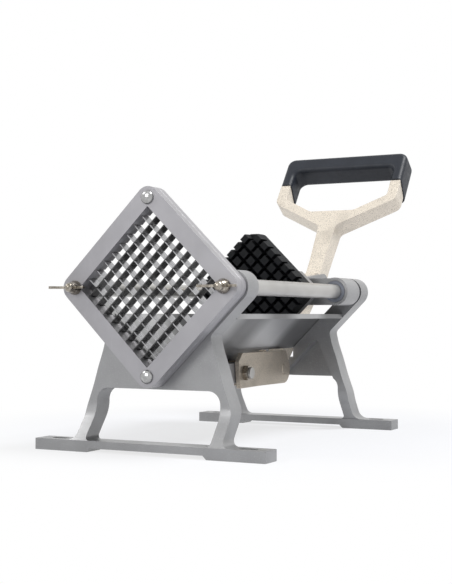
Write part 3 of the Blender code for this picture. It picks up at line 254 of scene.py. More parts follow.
# Link under the trough, its anchor on the front stand, and their pivots
LINK_LENGTH = 81.0 * MM
LINK_PIVOT_BELOW_HEAD = 70.5 * MM
LEVER_FOOT_AHEAD = 91.0 * MM
LINK_CHEEK = 3.9 * MM
LINK_RADIUS = 13.0 * MM
LINK_NOSE = 12.0 * MM
LINK_NOSE_CHAMFER = 7.0 * MM
LINK_TOP_Z = 73.0 * MM
LINK_NOSE_SLANT = 3.0 * MM
LINK_EDGE_ROUND = 1.5 * MM
LINK_BELLY = 28.0 * MM
LINK_BELLY_RISE = 0.4 * MM
LINK_BELLY_ROUND = 60.0 * MM
LINK_TOP_PAST = 4.0 * MM
LINK_HEEL_RADIUS = 12.8 * MM
LINK_HEEL_SPAN = (math.radians(-85.0), math.radians(20.0))
LINK_PIVOT_PROUD = 0.4 * MM
LINK_PIVOT_CHAMFER = 0.5 * MM
LINK_WEB_THICKNESS = 4.0 * MM
LINK_WEB_START = 17.0 * MM
LINK_WEB_END = 52.0 * MM
ANCHOR_TONGUE_HALF = 7.5 * MM
ANCHOR_TONGUE_RADIUS = 9.0 * MM
ANCHOR_FLANGE_HALF = 22.0 * MM
ANCHOR_FLANGE_DEPTH = 4.0 * MM
ANCHOR_FLANGE_DROP = 6.5 * MM
ANCHOR_FLANGE_RISE = 7.5 * MM
ANCHOR_SCREW_X = 14.5 * MM

# Places worked out from the sizes above
SLEEVE_Y = REAR_STAND_Y - STAND_DEPTH - REST_CLEARANCE - SLEEVE_LENGTH
CROSSBAR_REAR_Y = SLEEVE_Y + CROSSBAR_DEPTH
PAD_Y = SLEEVE_Y - HUB_LENGTH - PAD_DEPTH
PUSHER_BASE_Y = PAD_Y - GAP - PUSHER_BASE
TROUGH_HALF = HALF_DIAGONAL - GAP * ROOT_TWO
TROUGH_INNER_HALF = TROUGH_HALF - SHEET * ROOT_TWO
PUSHER_HALF_SIDE = TROUGH_INNER_HALF / ROOT_TWO - PUSHER_SLIDE_GAP
PUSHER_CORNER = ROD_X - EAR_RADIUS - EAR_CLEARANCE
LUG_INNER = LEVER_HALF + LEVER_SIDE_GAP
LUG_OUTER = LUG_INNER + LUG_THICKNESS
LEVER_PIVOT = (CROSSBAR_REAR_Y + PIVOT_BEHIND_CROSSBAR, HEAD_Z + PIVOT_ABOVE_HEAD)
LINK_END = (LEVER_PIVOT[0] - LEVER_FOOT_AHEAD, HEAD_Z - LINK_PIVOT_BELOW_HEAD)
LINK_PIVOT = (LINK_END[0] - LINK_LENGTH, LINK_END[1])
SIDES = (("left", -1.0), ("right", 1.0))
ROD_PLACES = [(side * ROD_X, HEAD_Z) for name, side in SIDES]
HEAD_SCREW_PLACES = [(0.0, HEAD_Z + way * (HALF_DIAGONAL + HEAD_SCREW_OUT)) for way in (1.0, -1.0)]
ANCHOR_SCREW_PLACES = [(side * ANCHOR_SCREW_X, LINK_PIVOT[1]) for name, side in SIDES]
PUSHER_SCREW_PLACES = [
    (side * PUSHER_CORNER * share_x, HEAD_Z + PUSHER_CORNER * share_z)
    for share_x, share_z in PUSHER_SCREW_SHARES
    for name, side in SIDES
]
BLADE_PLACES = [(index - (BLADES_EACH_WAY - 1) / 2.0) * BLADE_PITCH for index in range(BLADES_EACH_WAY)]

# Camera at the photograph's viewing angle
FOCAL_LENGTH = 71.4  # mm
SENSOR = 36.0  # mm, along the photograph's long side
CAMERA_PLACE = Vector((0.44935, -0.95717, 0.10595))
CAMERA_AZIMUTH = math.radians(27.11)
CAMERA_PITCH = math.radians(1.107)
CAMERA_ROLL = math.radians(0.08)
NEAREST, FARTHEST = 0.05, 50.0


def make_camera():
    """The camera at the photograph's viewing angle."""
    data = bpy.data.cameras.new("camera")
    data.lens = FOCAL_LENGTH
    data.sensor_width = SENSOR
    data.clip_start, data.clip_end = NEAREST, FARTHEST
    camera = bpy.data.objects.new("camera", data)
    bpy.context.scene.collection.objects.link(camera)
    ahead = Vector((-math.sin(CAMERA_AZIMUTH), math.cos(CAMERA_AZIMUTH), math.tan(CAMERA_PITCH)))
    turn = ahead.to_track_quat("-Z", "Y").to_matrix() @ Matrix.Rotation(CAMERA_ROLL, 3, "Z")
    camera.matrix_world = Matrix.Translation(CAMERA_PLACE) @ turn.to_4x4()
    bpy.context.scene.camera = camera


def add(tree, kind, inputs=None, **settings):
    """A new shader node with its properties set, and each given input set or linked."""
    made = tree.nodes.new(kind)
    for key, value in settings.items():
        setattr(made, key, value)
    for key, value in (inputs or {}).items():
        if isinstance(value, bpy.types.NodeSocket):
            tree.links.new(value, made.inputs[key])
        else:
            made.inputs[key].default_value = value
    return made


def noise(scale, stretch=(1.0, 1.0, 1.0), detail=3.0, roughness=0.55):
    """A noise pattern in object space, its scale in features a metre."""
    return "ShaderNodeTexNoise", stretch, {"Scale": scale, "Detail": detail, "Roughness": roughness}


def cells(scale):
    """A cell pattern in object space, its scale in features a metre."""
    return "ShaderNodeTexVoronoi", (1.0, 1.0, 1.0), {"Scale": scale}


def drawn(tree, pattern):
    """The output of a noise or cell pattern, drawn in a material."""
    kind, stretch, inputs = pattern
    place = add(tree, "ShaderNodeTexCoord").outputs["Object"]
    spread = add(tree, "ShaderNodeMapping", {"Vector": place, "Scale": stretch})
    return add(tree, kind, {"Vector": spread.outputs["Vector"], **inputs}).outputs[0]


ROUGH_FROM, ROUGH_TO = 0.3, 0.7
PLAIN_SPECULAR = 0.5


def finish(name, colour, metallic, roughness, tints, rough, reliefs=(), specular=PLAIN_SPECULAR):
    """A material whose colour, roughness and bump follow patterns.

    A tint blends towards its colour where its pattern runs from low to high. Rough gives the roughness
    that its pattern spans. A relief gives its pattern's height in metres and its strength.
    """
    look = bpy.data.materials.new(name)
    look.use_nodes = True
    look.diffuse_color = (*colour, 1.0)
    tree = look.node_tree
    shader = tree.nodes["Principled BSDF"].inputs
    blend = (*colour, 1.0)
    plain = {"Base Color": blend, "Metallic": metallic, "Roughness": roughness, "Specular IOR Level": specular}
    for key, value in plain.items():
        shader[key].default_value = value
    for pattern, low, high, towards in tints:
        span = add(tree, "ShaderNodeMapRange", {"Value": drawn(tree, pattern), "From Min": low, "From Max": high})
        inputs = {"Factor": span.outputs["Result"], "A": blend, "B": (*towards, 1.0)}
        blend = add(tree, "ShaderNodeMix", inputs, data_type="RGBA").outputs["Result"]
    tree.links.new(blend, shader["Base Color"])
    pattern, least, most = rough
    inputs = {"From Min": ROUGH_FROM, "From Max": ROUGH_TO, "To Min": least, "To Max": most}
    span = add(tree, "ShaderNodeMapRange", {"Value": drawn(tree, pattern), **inputs})
    tree.links.new(span.outputs["Result"], shader["Roughness"])
    below = {}
    for pattern, depth, strength in reliefs:
        inputs = {"Height": drawn(tree, pattern), "Distance": depth, "Strength": strength}
        bump = add(tree, "ShaderNodeBump", {**inputs, **below})
        below = {"Normal": bump.outputs["Normal"]}
        tree.links.new(bump.outputs["Normal"], shader["Normal"])
    return look


def scaled(colour, share):
    """A colour made lighter or darker."""
    return tuple(channel * share for channel in colour)


def blade_steel(name, colour, metallic):
    """Ground blade steel, streaked across the blade."""
    streaks = noise(1600.0, (0.2, 1.0, 0.2), 2.0)
    tints = [(streaks, 0.45, 0.80, scaled(colour, 1.3)), (noise(60.0), 0.55, 0.75, scaled(colour, 0.65))]
    return finish(name, colour, metallic, 0.26, tints, (streaks, 0.18, 0.36), [(streaks, 0.02 * MM, 0.4)])


def nickel(name, colour):
    """Nickel-plated casting: warm, with a pebbled grain and dark specks in its pits."""
    pebbles = noise(1050.0, detail=4.0, roughness=0.7)
    tints = [
        (pebbles, 0.50, 0.66, scaled(colour, 1.26)),
        (noise(1000.0, detail=2.0, roughness=0.6), 0.55, 0.68, scaled(colour, 0.50)),
        (noise(35.0), 0.50, 0.85, scaled(colour, 0.62)),
    ]
    reliefs = [(pebbles, 0.16 * MM, 0.8), (cells(600.0), 0.06 * MM, 0.5)]
    return finish(name, colour, 0.55, 0.30, tints, (pebbles, 0.26, 0.46), reliefs)


GRAIN = noise(1500.0, detail=2.0)
LOOKS = {
    # Bead-blasted casting: even satin grey with a fine grain and faint clouds
    "cast_aluminium": finish(
        "satin_aluminium", (0.34, 0.34, 0.342), 0.50, 0.32,
        [(noise(24.0), 0.35, 0.70, (0.27, 0.27, 0.272)), (GRAIN, 0.58, 0.80, (0.46, 0.465, 0.475))],
        (noise(24.0), 0.28, 0.42), [(GRAIN, 0.05 * MM, 0.5)],
    ),
    # Ground steel of rods and fasteners, a little cloudy
    "satin_steel": finish(
        "satin_steel", (0.50, 0.49, 0.47), 0.62, 0.26,
        [(noise(60.0, detail=0.0), 0.40, 0.80, (0.44, 0.43, 0.41))], (noise(40.0, detail=0.0), 0.28, 0.34),
    ),
    # Rolled steel sheet, with soft lighter bands across the trough that are a painted reflection
    "sheet_steel": finish(
        "brushed_sheet_painted_reflection", (0.17, 0.17, 0.172), 0.60, 0.34,
        [(noise(14.0, (0.0, 1.0, 0.15), 0.0), 0.42, 0.58, (0.44, 0.44, 0.44))], (noise(30.0), 0.30, 0.38),
    ),
    "nickel_casting": nickel("nickel_casting", (0.76, 0.69, 0.59)),
    # Dark blue-black moulded plastic with a fine leathery grain and a soft sheen
    "grip_plastic": finish(
        "grip_plastic", (0.010, 0.013, 0.020), 0.0, 0.44, [(noise(45.0), 0.45, 0.75, (0.017, 0.021, 0.030))],
        (noise(300.0), 0.38, 0.54), [(cells(1700.0), 0.04 * MM, 0.6)], 0.35,
    ),
    # Black moulded block, matt, a little dusty on its faces
    "pusher_plastic": finish(
        "pusher_plastic", (0.0035, 0.0042, 0.0055), 0.0, 0.60, [(noise(160.0), 0.52, 0.80, (0.0070, 0.0080, 0.0100))],
        (noise(400.0), 0.50, 0.68), [(noise(1500.0), 0.03 * MM, 0.5)], 0.18,
    ),
    # Grey bush liner, smooth and slightly cool
    "bush_plastic": finish(
        "bush_plastic", (0.20, 0.215, 0.25), 0.0, 0.40, [(noise(200.0), 0.5, 0.8, (0.26, 0.275, 0.31))],
        (noise(300.0), 0.34, 0.48), [(noise(1500.0), 0.02 * MM, 0.4)],
    ),
}
# The link's nickel, painted darker and browner than the lever's as painted shade under the trough
PAINTED_SHADE_LINK_LOOK = nickel("nickel_link_painted_shade", (0.50, 0.44, 0.36))
# One blade steel in two tones: the rising set is painted darker as painted shade, and the falling set lighter as
# painted light, for the way each set faces the light
PAINTED_SHADE_BLADE = blade_steel("blade_steel_painted_shade", (0.10, 0.10, 0.10), 0.8)
PAINTED_LIGHT_BLADE = blade_steel("blade_steel_painted_light", (0.38, 0.38, 0.39), 0.95)
# The milled head: cooler, with the faint lines of its facing cut
FACING = noise(900.0, (1.0, 0.06, 0.06))
HEAD_LOOK = finish(
    "milled_aluminium", (0.39, 0.382, 0.396), 0.42, 0.30,
    [(noise(22.0), 0.35, 0.70, (0.32, 0.313, 0.324)), (FACING, 0.60, 1.20, (0.46, 0.45, 0.465))],
    (FACING, 0.32, 0.46), [(FACING, 0.03 * MM, 0.4)],
)
# Polished steel of the wing nuts, browner in its hollows
DARK_STEEL = finish(
    "polished_steel", (0.34, 0.31, 0.27), 1.0, 0.18,
    [(noise(260.0), 0.45, 0.62, (0.20, 0.18, 0.15)), (noise(700.0), 0.55, 0.75, (0.55, 0.52, 0.47))],
    (noise(500.0), 0.12, 0.30), [(noise(900.0), 0.02 * MM, 0.5)],
)
# Polished steel of the head's two domed screws
HEAD_STEEL = finish(
    "domed_steel", (0.36, 0.36, 0.36), 1.0, 0.12, [(noise(300.0), 0.45, 0.70, (0.48, 0.48, 0.48))],
    (noise(500.0), 0.08, 0.22),
)


def front_view(across, up, depth):
    """A point drawn from the front: X right, Z up, at a depth along Y."""
    return Vector((across, depth, up))


def side_view(back, up, out):
    """A point drawn from the right: Y back, Z up, at an offset along X."""
    return Vector((out, back, up))


def top_view(across, back, up):
    """A point drawn from above: X right, Y back, at a height."""
    return Vector((across, back, up))


def lever_view(across, along, depth):
    """A point drawn on the tilted lever: across it, along its stem from the pivot, and back from there."""
    back = LEVER_PIVOT[0] + along * math.sin(LEVER_TILT) + depth * math.cos(LEVER_TILT)
    up = LEVER_PIVOT[1] + along * math.cos(LEVER_TILT) - depth * math.sin(LEVER_TILT)
    return Vector((across, back, up))


def arc(centre, radius, start, end, steps=END_STEPS):
    """Points on an arc, from one angle to another."""
    angles = [start + (end - start) * step / steps for step in range(steps + 1)]
    return [(centre[0] + radius * math.cos(angle), centre[1] + radius * math.sin(angle)) for angle in angles]


def half_round(centre, radius):
    """The rear half of a circle in the side view, or its right half in the others, drawn upward."""
    return arc(centre, radius, -QUARTER, QUARTER)


def circle(centre, radius, sides=0):
    """Points round a circle, on as many sides as its radius needs unless told."""
    sides = sides or (ROUND_SIDES if radius > SMALL_RADIUS else SMALL_SIDES)
    return arc(centre, radius, 0.0, math.tau * (sides - 1) / sides, sides - 1)


def rounded(corners):
    """An outline from (across, up, radius) corners, each turned by an arc of its own radius."""
    outline = []
    for index, (across, up, radius) in enumerate(corners):
        corner = Vector((across, up))
        if not radius:
            outline.append((across, up))
            continue
        before = (Vector(corners[index - 1][:2]) - corner).normalized()
        after = (Vector(corners[(index + 1) % len(corners)][:2]) - corner).normalized()
        half_angle = before.angle(after) / 2.0
        centre = corner + (before + after).normalized() * radius / math.sin(half_angle)
        first = corner + before * radius / math.tan(half_angle) - centre
        last = corner + after * radius / math.tan(half_angle) - centre
        start = math.atan2(first.y, first.x)
        turn = math.remainder(math.atan2(last.y, last.x) - start, math.tau)
        outline += arc(centre, radius, start, start + turn, CORNER_STEPS)
    return outline


def mirrored(half):
    """A whole outline from its right half, whose first and last points lie on the middle line."""
    return half + [(-across, up) for across, up in reversed(half[1:-1])]


def rectangle(left, right, bottom, top):
    """A rectangular outline."""
    return [(left, bottom), (right, bottom), (right, top), (left, top)]


def diamond(half_diagonal, radius):
    """A square stood on its corner about the middle of the head, with round corners."""
    ways = ((1, 0), (0, 1), (-1, 0), (0, -1))
    return rounded([(half_diagonal * x, HEAD_Z + half_diagonal * z, radius) for x, z in ways])


def turned_to_diamond(along, across):
    """A point of the upright square, along and across its sides, turned by 45 degrees onto the head."""
    return ((along - across) / ROOT_TWO, HEAD_Z + (along + across) / ROOT_TWO)


def face_outward(bm):
    """Point the faces of a closed body outward."""
    bmesh.ops.recalc_face_normals(bm, faces=bm.faces[:])
    if bm.calc_volume(signed=True) < 0.0:
        bmesh.ops.reverse_faces(bm, faces=bm.faces[:])
    return bm


def of_kind(items, kind):
    """The items of one kind among what a mesh operator gives back."""
    return [item for item in items if isinstance(item, kind)]


def prism(outline, low, high, view, holes=()):
    """An outline, with any holes, drawn in a view and filled between two depths."""
    bm = bmesh.new()
    edges = []
    for loop in (outline, *holes):
        corners = [bm.verts.new((across, up, low)) for across, up in loop]
        edges += [bm.edges.new((corners[index - 1], corners[index])) for index in range(len(corners))]
    if holes:
        bmesh.ops.triangle_fill(bm, edges=edges, use_beauty=True)
    else:
        bm.faces.new(bm.verts[:])
    raised = of_kind(bmesh.ops.extrude_face_region(bm, geom=bm.faces[:])["geom"], bmesh.types.BMVert)
    bmesh.ops.translate(bm, verts=raised, vec=(0.0, 0.0, high - low))
    for vert in bm.verts:
        vert.co = view(*vert.co)
    return face_outward(bm)


def bridge(bm, near, far):
    """Faces between two rings of points, either of which may be a single point."""
    for index in range(max(len(near), len(far))):
        spots = ((near, index - 1), (near, index), (far, index), (far, index - 1))
        bm.faces.new(dict.fromkeys(ring[spot % len(ring)] for ring, spot in spots))


def turned(profile, centre, view, hollow=False):
    """A (radius, depth) profile turned about an axis through a centre; a hollow profile closes on itself."""
    bm = bmesh.new()
    sides = len(circle(centre, max(radius for radius, depth in profile)))
    rings = []
    for radius, depth in profile:
        spots = circle(centre, radius, sides) if radius else [centre]
        rings.append([bm.verts.new(view(across, up, depth)) for across, up in spots])
    for near, far in zip(rings, rings[1:]):
        bridge(bm, near, far)
    if hollow:
        bridge(bm, rings[-1], rings[0])
    return face_outward(bm)


def solid(bm):
    """Turn a mesh under construction into an object that Booleans can use."""
    mesh = bpy.data.meshes.new("solid")
    bm.to_mesh(mesh)
    bm.free()
    item = bpy.data.objects.new("solid", mesh)
    bpy.context.scene.collection.objects.link(item)
    return item


def boolean(target, bm, operation):
    """Apply one exact Boolean with a body to the target."""
    tool = solid(bm)
    modifier = target.modifiers.new(operation, "BOOLEAN")
    modifier.operation = operation
    modifier.solver = "EXACT"
    modifier.object = tool
    bpy.context.view_layer.update()
    graph = bpy.context.evaluated_depsgraph_get()
    mesh = bpy.data.meshes.new_from_object(target.evaluated_get(graph))
    target.modifiers.clear()
    target.data = mesh
    bpy.data.objects.remove(tool)


def join(target, bm):
    """Fuse a body with the target."""
    boolean(target, bm, "UNION")


def cut(target, bm):
    """Take a body out of the target."""
    boolean(target, bm, "DIFFERENCE")


def round_bar(centre, radius, low, high, view):
    """One plain cylinder between two depths."""
    return turned([(0.0, low), (radius, low), (radius, high), (0.0, high)], centre, view)


def bore(target, places, radius, low, high, view):
    """Drill the same hole at each place."""
    for place in places:
        cut(target, round_bar(place, radius, low, high, view))


# How far the edges of each casting, moulding and folded or milled piece are rounded, in millimetres, and in
# how many steps
EDGES = {
    "front_plate": (1.0, 3),
    "blade_holder": (0.5, 2),
    "front_stand": (1.3, 3),
    "rear_stand": (1.3, 3),
    "trough": (0.5, 2),
    "carriage": (1.2, 3),
    "lever": (1.8, 4),
    "link": (1.0, 3),
    "anchor_bracket": (0.8, 2),
    "pusher_block": (0.6, 2),
    "wing_nut_left": (0.7, 3),
    "wing_nut_right": (0.7, 3),
    "grip": (0.8, 2),
}
EDGE_ANGLE = math.radians(32.0)
SMOOTH = math.radians(40.0)
WELD = 0.002 * MM
FLAT = math.radians(0.5)


def piece(node, item, look=None):
    """Finish the piece that stands for a node: its place, finish, rounded edges and smooth shading."""
    item.name = f"{node}_fine"
    mesh = item.data
    mesh.transform(Matrix.Translation((0.0, FACE_Y, 0.0)))
    bm = bmesh.new()
    bm.from_mesh(mesh)
    bmesh.ops.remove_doubles(bm, verts=bm.verts[:], dist=WELD)
    bmesh.ops.dissolve_limit(bm, angle_limit=FLAT, verts=bm.verts[:], edges=bm.edges[:])
    bm.to_mesh(mesh)
    bm.free()
    mesh.materials.clear()
    mesh.materials.append(look or LOOKS[SLOT[node]])
    mesh.shade_smooth()
    mesh.set_sharp_from_angle(angle=SMOOTH)
    if node in EDGES:
        width, steps = EDGES[node]
        bevel = item.modifiers.new("edges", "BEVEL")
        bevel.width = width * MM
        bevel.segments = steps
        bevel.limit_method = "ANGLE"
        bevel.angle_limit = EDGE_ANGLE
        weighted = item.modifiers.new("shading", "WEIGHTED_NORMAL")
        weighted.keep_sharp = True
    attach(item, BODY[node])
    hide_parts(node)


def screw(node, place, sizes, seat, tip, look=None):
    """A screw along Y: its shank from the tip to its seat, and the domed head outside."""
    radius, head_radius, height = sizes
    rise = math.copysign(height, seat - tip)
    crown = arc((0.0, 0.0), 1.0, 0.0, QUARTER, DOME_STEPS)[:-1]
    profile = [(0.0, tip), (radius, tip), (radius, seat)]
    profile += [(head_radius * across, seat + rise * up) for across, up in crown]
    profile.append((0.0, seat + rise))
    piece(node, solid(turned(profile, place, front_view)), look)


def hex_nut(node, place, radius, bolt_radius, low, depth, view, look=None):
    """A hexagonal nut, bored with a clearance for its bolt."""
    hole = circle(place, bolt_radius + GAP)
    piece(node, solid(prism(circle(place, radius, HEX_SIDES), low, low + depth, view, [hole])), look)


def pin_and_nut(pin, nut, place, sizes, outer, look=None):
    """A pin along X through two cheeks, its chamfered head on the left, and its nut on the right."""
    radius, head_radius, head_depth, nut_depth = sizes
    seat = outer + GAP
    tip = seat + nut_depth + PIN_PAST_NUT
    top = -seat - head_depth
    chamfer = head_depth * HEAD_CHAMFER_SHARE
    profile = [(0.0, top), (head_radius - chamfer, top), (head_radius, top + chamfer), (head_radius, -seat)]
    profile += [(radius, -seat), (radius, tip), (0.0, tip)]
    piece(pin, solid(turned(profile, place, side_view)))
    hex_nut(nut, place, head_radius, radius, seat, nut_depth, side_view, look)


def head_ring(node, opening, low, depth):
    """The front plate or the blade holder: a diamond with an opening, and the head's screw and stud holes."""
    holes = [opening] + [circle(place, HEAD_SCREW[0] + GAP) for place in HEAD_SCREW_PLACES]
    holes += [circle(place, STUD_HOLE_RADIUS) for place in ROD_PLACES]
    outline = diamond(PLATE_SIDE / ROOT_TWO, PLATE_CORNER)
    piece(node, solid(prism(outline, low, low + depth, front_view, holes)), HEAD_LOOK)


def slots(edge, floor):
    """A slot at the place of every blade along one side, from its edge to the slots' floor."""
    half = BLADE_SLOT / 2.0
    outline = []
    for place in BLADE_PLACES:
        near, far = place - half, place + half
        outline += [(near, edge), (near, floor), (far, floor), (far, edge)]
    return outline


def notched_opening():
    """The holder's square opening, with a slot for the end of every blade on each of its four sides."""
    half = OPENING_SIDE / 2.0
    side = [(-half, half)] + slots(half, half + BLADE_END)
    outline = []
    for turn in range(4):
        outline += [turned_to_diamond(along, across) for along, across in side]
        side = [(across, -along) for along, across in side]
    return outline


def blade_outline(slots_in_front):
    """A blade seen flat: ends held in the holder, and a part between them that reaches into the plate."""
    reach = OPENING_SIDE / 2.0 - GAP
    half = reach + BLADE_END
    shoulder = HOLDER_Y + GAP
    middle = (BLADE_FRONT + BLADE_REAR) / 2.0
    left = [(-half, BLADE_REAR), (-half, shoulder), (-reach, shoulder), (-reach, BLADE_FRONT)]
    right = [(-along, depth) for along, depth in reversed(left)]
    if slots_in_front:
        return left + slots(BLADE_FRONT, middle + GAP / 2.0) + right
    return left[::-1] + slots(BLADE_REAR, middle - GAP / 2.0) + right[::-1]


def blades():
    """Both sets of blades, each blade its own piece."""
    half = BLADE_THICKNESS / 2.0
    # The rising set takes the steel painted darker as shade, and the falling set the steel painted lighter as light
    for name, rising, look in (("rising", True, PAINTED_SHADE_BLADE), ("falling", False, PAINTED_LIGHT_BLADE)):
        for number, place in enumerate(BLADE_PLACES, 1):

            def blade_view(along, depth, across, rising=rising, place=place):
                """A point of this blade: along it, back through it, and across its thickness."""
                pair = (along, place + across) if rising else (place + across, along)
                across_head, up = turned_to_diamond(*pair)
                return Vector((across_head, depth, up))

            body = prism(blade_outline(not rising), -half, half, blade_view)
            piece(f"blade_{name}_{number}", solid(body), look)


def head_fasteners():
    """The two domed screws of the head and the nuts behind it."""
    tip = STAND_Y + HEAD_NUT_DEPTH + HEAD_SCREW_TIP
    for end, place in zip(("top", "bottom"), HEAD_SCREW_PLACES):
        screw(f"head_screw_{end}", place, HEAD_SCREW, -GAP, tip, HEAD_STEEL)
        hex_nut(f"head_nut_{end}", place, HEAD_NUT_RADIUS, HEAD_SCREW[0], STAND_Y, HEAD_NUT_DEPTH, front_view)


def wing_nuts():
    """The wing nuts on the studs in front of the plate: a conical hub with a ball tip and two thin wings."""
    ball_y = WING_HUB_LENGTH - WING_BALL_RADIUS
    profile = [(0.0, -GAP), (WING_HUB_RADIUS, -GAP), (WING_HUB_RADIUS, -WING_HUB_BASE)]
    ball = arc((0.0, ball_y), WING_BALL_RADIUS, -WING_NECK_ANGLE, QUARTER, 2 * DOME_STEPS)[:-1]
    profile += [(radius, -ahead) for radius, ahead in ball] + [(0.0, -WING_HUB_LENGTH)]
    half = WING_THICKNESS / 2.0
    for (name, side), place in zip(SIDES, ROD_PLACES):

        def wing_view(across, back, up, place=place):
            """A point drawn from above, from this nut's own axis."""
            return Vector((place[0] + across, back, place[1] + up))

        nut = solid(turned(profile, place, front_view))
        for way in (-MM, MM):
            wing = rounded([(out * way, -ahead * MM, turn * MM) for out, ahead, turn in WING_CORNERS])
            join(nut, prism(wing, -half, half, wing_view))
        bore(nut, [place], STUD_HOLE_RADIUS, -WING_BORE_DEPTH, CUT_OVERRUN, front_view)
        piece(f"wing_nut_{name}", nut, DARK_STEEL)


def guide_rods():
    """The rods, with reduced ends through both stands, and the nuts behind the rear stand."""
    near = STAND_Y + STAND_DEPTH + GAP
    far = REAR_STAND_Y - STAND_DEPTH - GAP
    nut_y = REAR_STAND_Y + GAP
    tip = nut_y + ROD_NUT_DEPTH + STUD_PAST_NUT
    slim = STUD_RADIUS - STUD_CHAMFER
    profile = [(0.0, -STUD_FRONT), (slim, -STUD_FRONT), (STUD_RADIUS, -STUD_FRONT + STUD_CHAMFER)]
    profile += [(STUD_RADIUS, near), (ROD_RADIUS, near), (ROD_RADIUS, far), (STUD_RADIUS, far)]
    profile += [(STUD_RADIUS, tip - STUD_CHAMFER), (slim, tip), (0.0, tip)]
    for (name, side), place in zip(SIDES, ROD_PLACES):
        piece(f"guide_rod_{name}", solid(turned(profile, place, front_view)))
        hex_nut(f"rear_rod_nut_{name}", place, ROD_NUT_RADIUS, STUD_RADIUS, nut_y, ROD_NUT_DEPTH, front_view)


def stand_outline():
    """A stand seen from the front: open V, round ears, waist, curved legs and the web between them."""
    start = V_FACING - math.asin((ROD_X - HALF_DIAGONAL) / ROOT_TWO / EAR_RADIUS)
    waist_x = ROD_X + EAR_RADIUS * ROOT_TWO - WAIST_DROP
    waist_z = HEAD_Z - WAIST_DROP
    buried_z = FOOT_HEIGHT - JOIN_SINK
    inner_x = LEG_OUTER_X - LEG_THICKNESS
    outer_foot = LEG_OUTER_X + LEG_FOOT_ROUND + GAP
    inner_foot = inner_x - LEG_FOOT_INNER_ROUND - GAP
    corners = [(0.0, HEAD_Z - HALF_DIAGONAL, 0.0)]
    corners += [(x, z, 0.0) for x, z in arc((ROD_X, HEAD_Z), EAR_RADIUS, start, EAR_END, EAR_STEPS)]
    corners.append((waist_x, waist_z, WAIST_ROUND))
    for share_x, share_z, turn in LEG_EDGE:
        edge_x = waist_x + (LEG_OUTER_X - waist_x) * share_x
        corners.append((edge_x, waist_z + (LEG_KNEE_Z - waist_z) * share_z, turn))
    corners += [
        (LEG_OUTER_X, LEG_KNEE_Z, LEG_KNEE_ROUND),
        (LEG_OUTER_X, FOOT_HEIGHT, LEG_FOOT_ROUND),
        (outer_foot, FOOT_HEIGHT, 0.0),
        (outer_foot, buried_z, 0.0),
        (inner_foot, buried_z, 0.0),
        (inner_foot, FOOT_HEIGHT, 0.0),
        (inner_x, FOOT_HEIGHT, LEG_FOOT_INNER_ROUND),
        (inner_x, WEB_BOTTOM_Z, WEB_ROUND),
        (0.0, WEB_BOTTOM_Z, 0.0),
    ]
    return mirrored(rounded(corners))


def kick(up):
    """How far outward a leg has swept at a height: it eases in at the knee and runs straight to the foot."""
    fall = (LEG_KICK_START_Z - up) / (LEG_KICK_START_Z - FOOT_HEIGHT)
    if fall <= -LEG_KICK_EASE:
        return 0.0
    if fall < LEG_KICK_EASE:
        return LEG_KICK * (fall + LEG_KICK_EASE) ** 2 / (4.0 * LEG_KICK_EASE)
    return LEG_KICK * min(fall, 1.0)


def kicked_stand(view):
    """The stand's casting without its foot, its legs swept outward below the knee."""
    bm = prism(stand_outline(), 0.0, STAND_DEPTH, front_view)
    top = LEG_KICK_START_Z + (LEG_KICK_START_Z - FOOT_HEIGHT) * LEG_KICK_EASE
    for number in range(LEG_KICK_SLICES + 1):
        height = top + (FOOT_HEIGHT - top) * number / LEG_KICK_SLICES
        everything = bm.verts[:] + bm.edges[:] + bm.faces[:]
        bmesh.ops.bisect_plane(bm, geom=everything, plane_co=(0.0, 0.0, height), plane_no=(0.0, 0.0, 1.0))
    for vert in bm.verts:
        vert.co = view(vert.co.x, vert.co.z, vert.co.y - kick(vert.co.z))
    return face_outward(bm)


def foot_outline():
    """The foot seen from the front: a bar raised off the table between its two pads."""
    pad = FOOT_HALF - FOOT_PAD_LENGTH
    right = [(0.0, FOOT_RAISE), (pad - FOOT_RAISE, FOOT_RAISE), (pad, 0.0), (FOOT_HALF, 0.0)]
    return mirrored(right + [(FOOT_HALF, FOOT_HEIGHT), (0.0, FOOT_HEIGHT)])


def pocket_outline(side, near):
    """One pocket of the web's inner face, open at the bottom, beside the V's band."""
    low = WEB_BOTTOM_Z - CUT_OVERRUN
    top = HEAD_Z - WAIST_DROP - POCKET_BELOW_WAIST
    band = HEAD_Z - HALF_DIAGONAL - POCKET_BAND * ROOT_TWO
    start = max(low - band, near)
    corners = [(start * side, low, 0.0)]
    if near > low - band:
        corners.append((start * side, start + band, POCKET_ROUND))
    corners.append(((top - band) * side, top, POCKET_ROUND))
    corners.append(((LEG_OUTER_X - POCKET_LEG_RIM) * side, low, 0.0))
    return rounded(corners)


def slot_outline(place_x, place_y):
    """One screw slot of a foot pad, seen from above, long across the foot."""
    reach = FOOT_SLOT_LENGTH / 2.0 - FOOT_SLOT_RADIUS
    right = arc((place_x + reach, place_y), FOOT_SLOT_RADIUS, -QUARTER, QUARTER, CORNER_STEPS)
    return right + arc((place_x - reach, place_y), FOOT_SLOT_RADIUS, QUARTER, 3.0 * QUARTER, CORNER_STEPS)


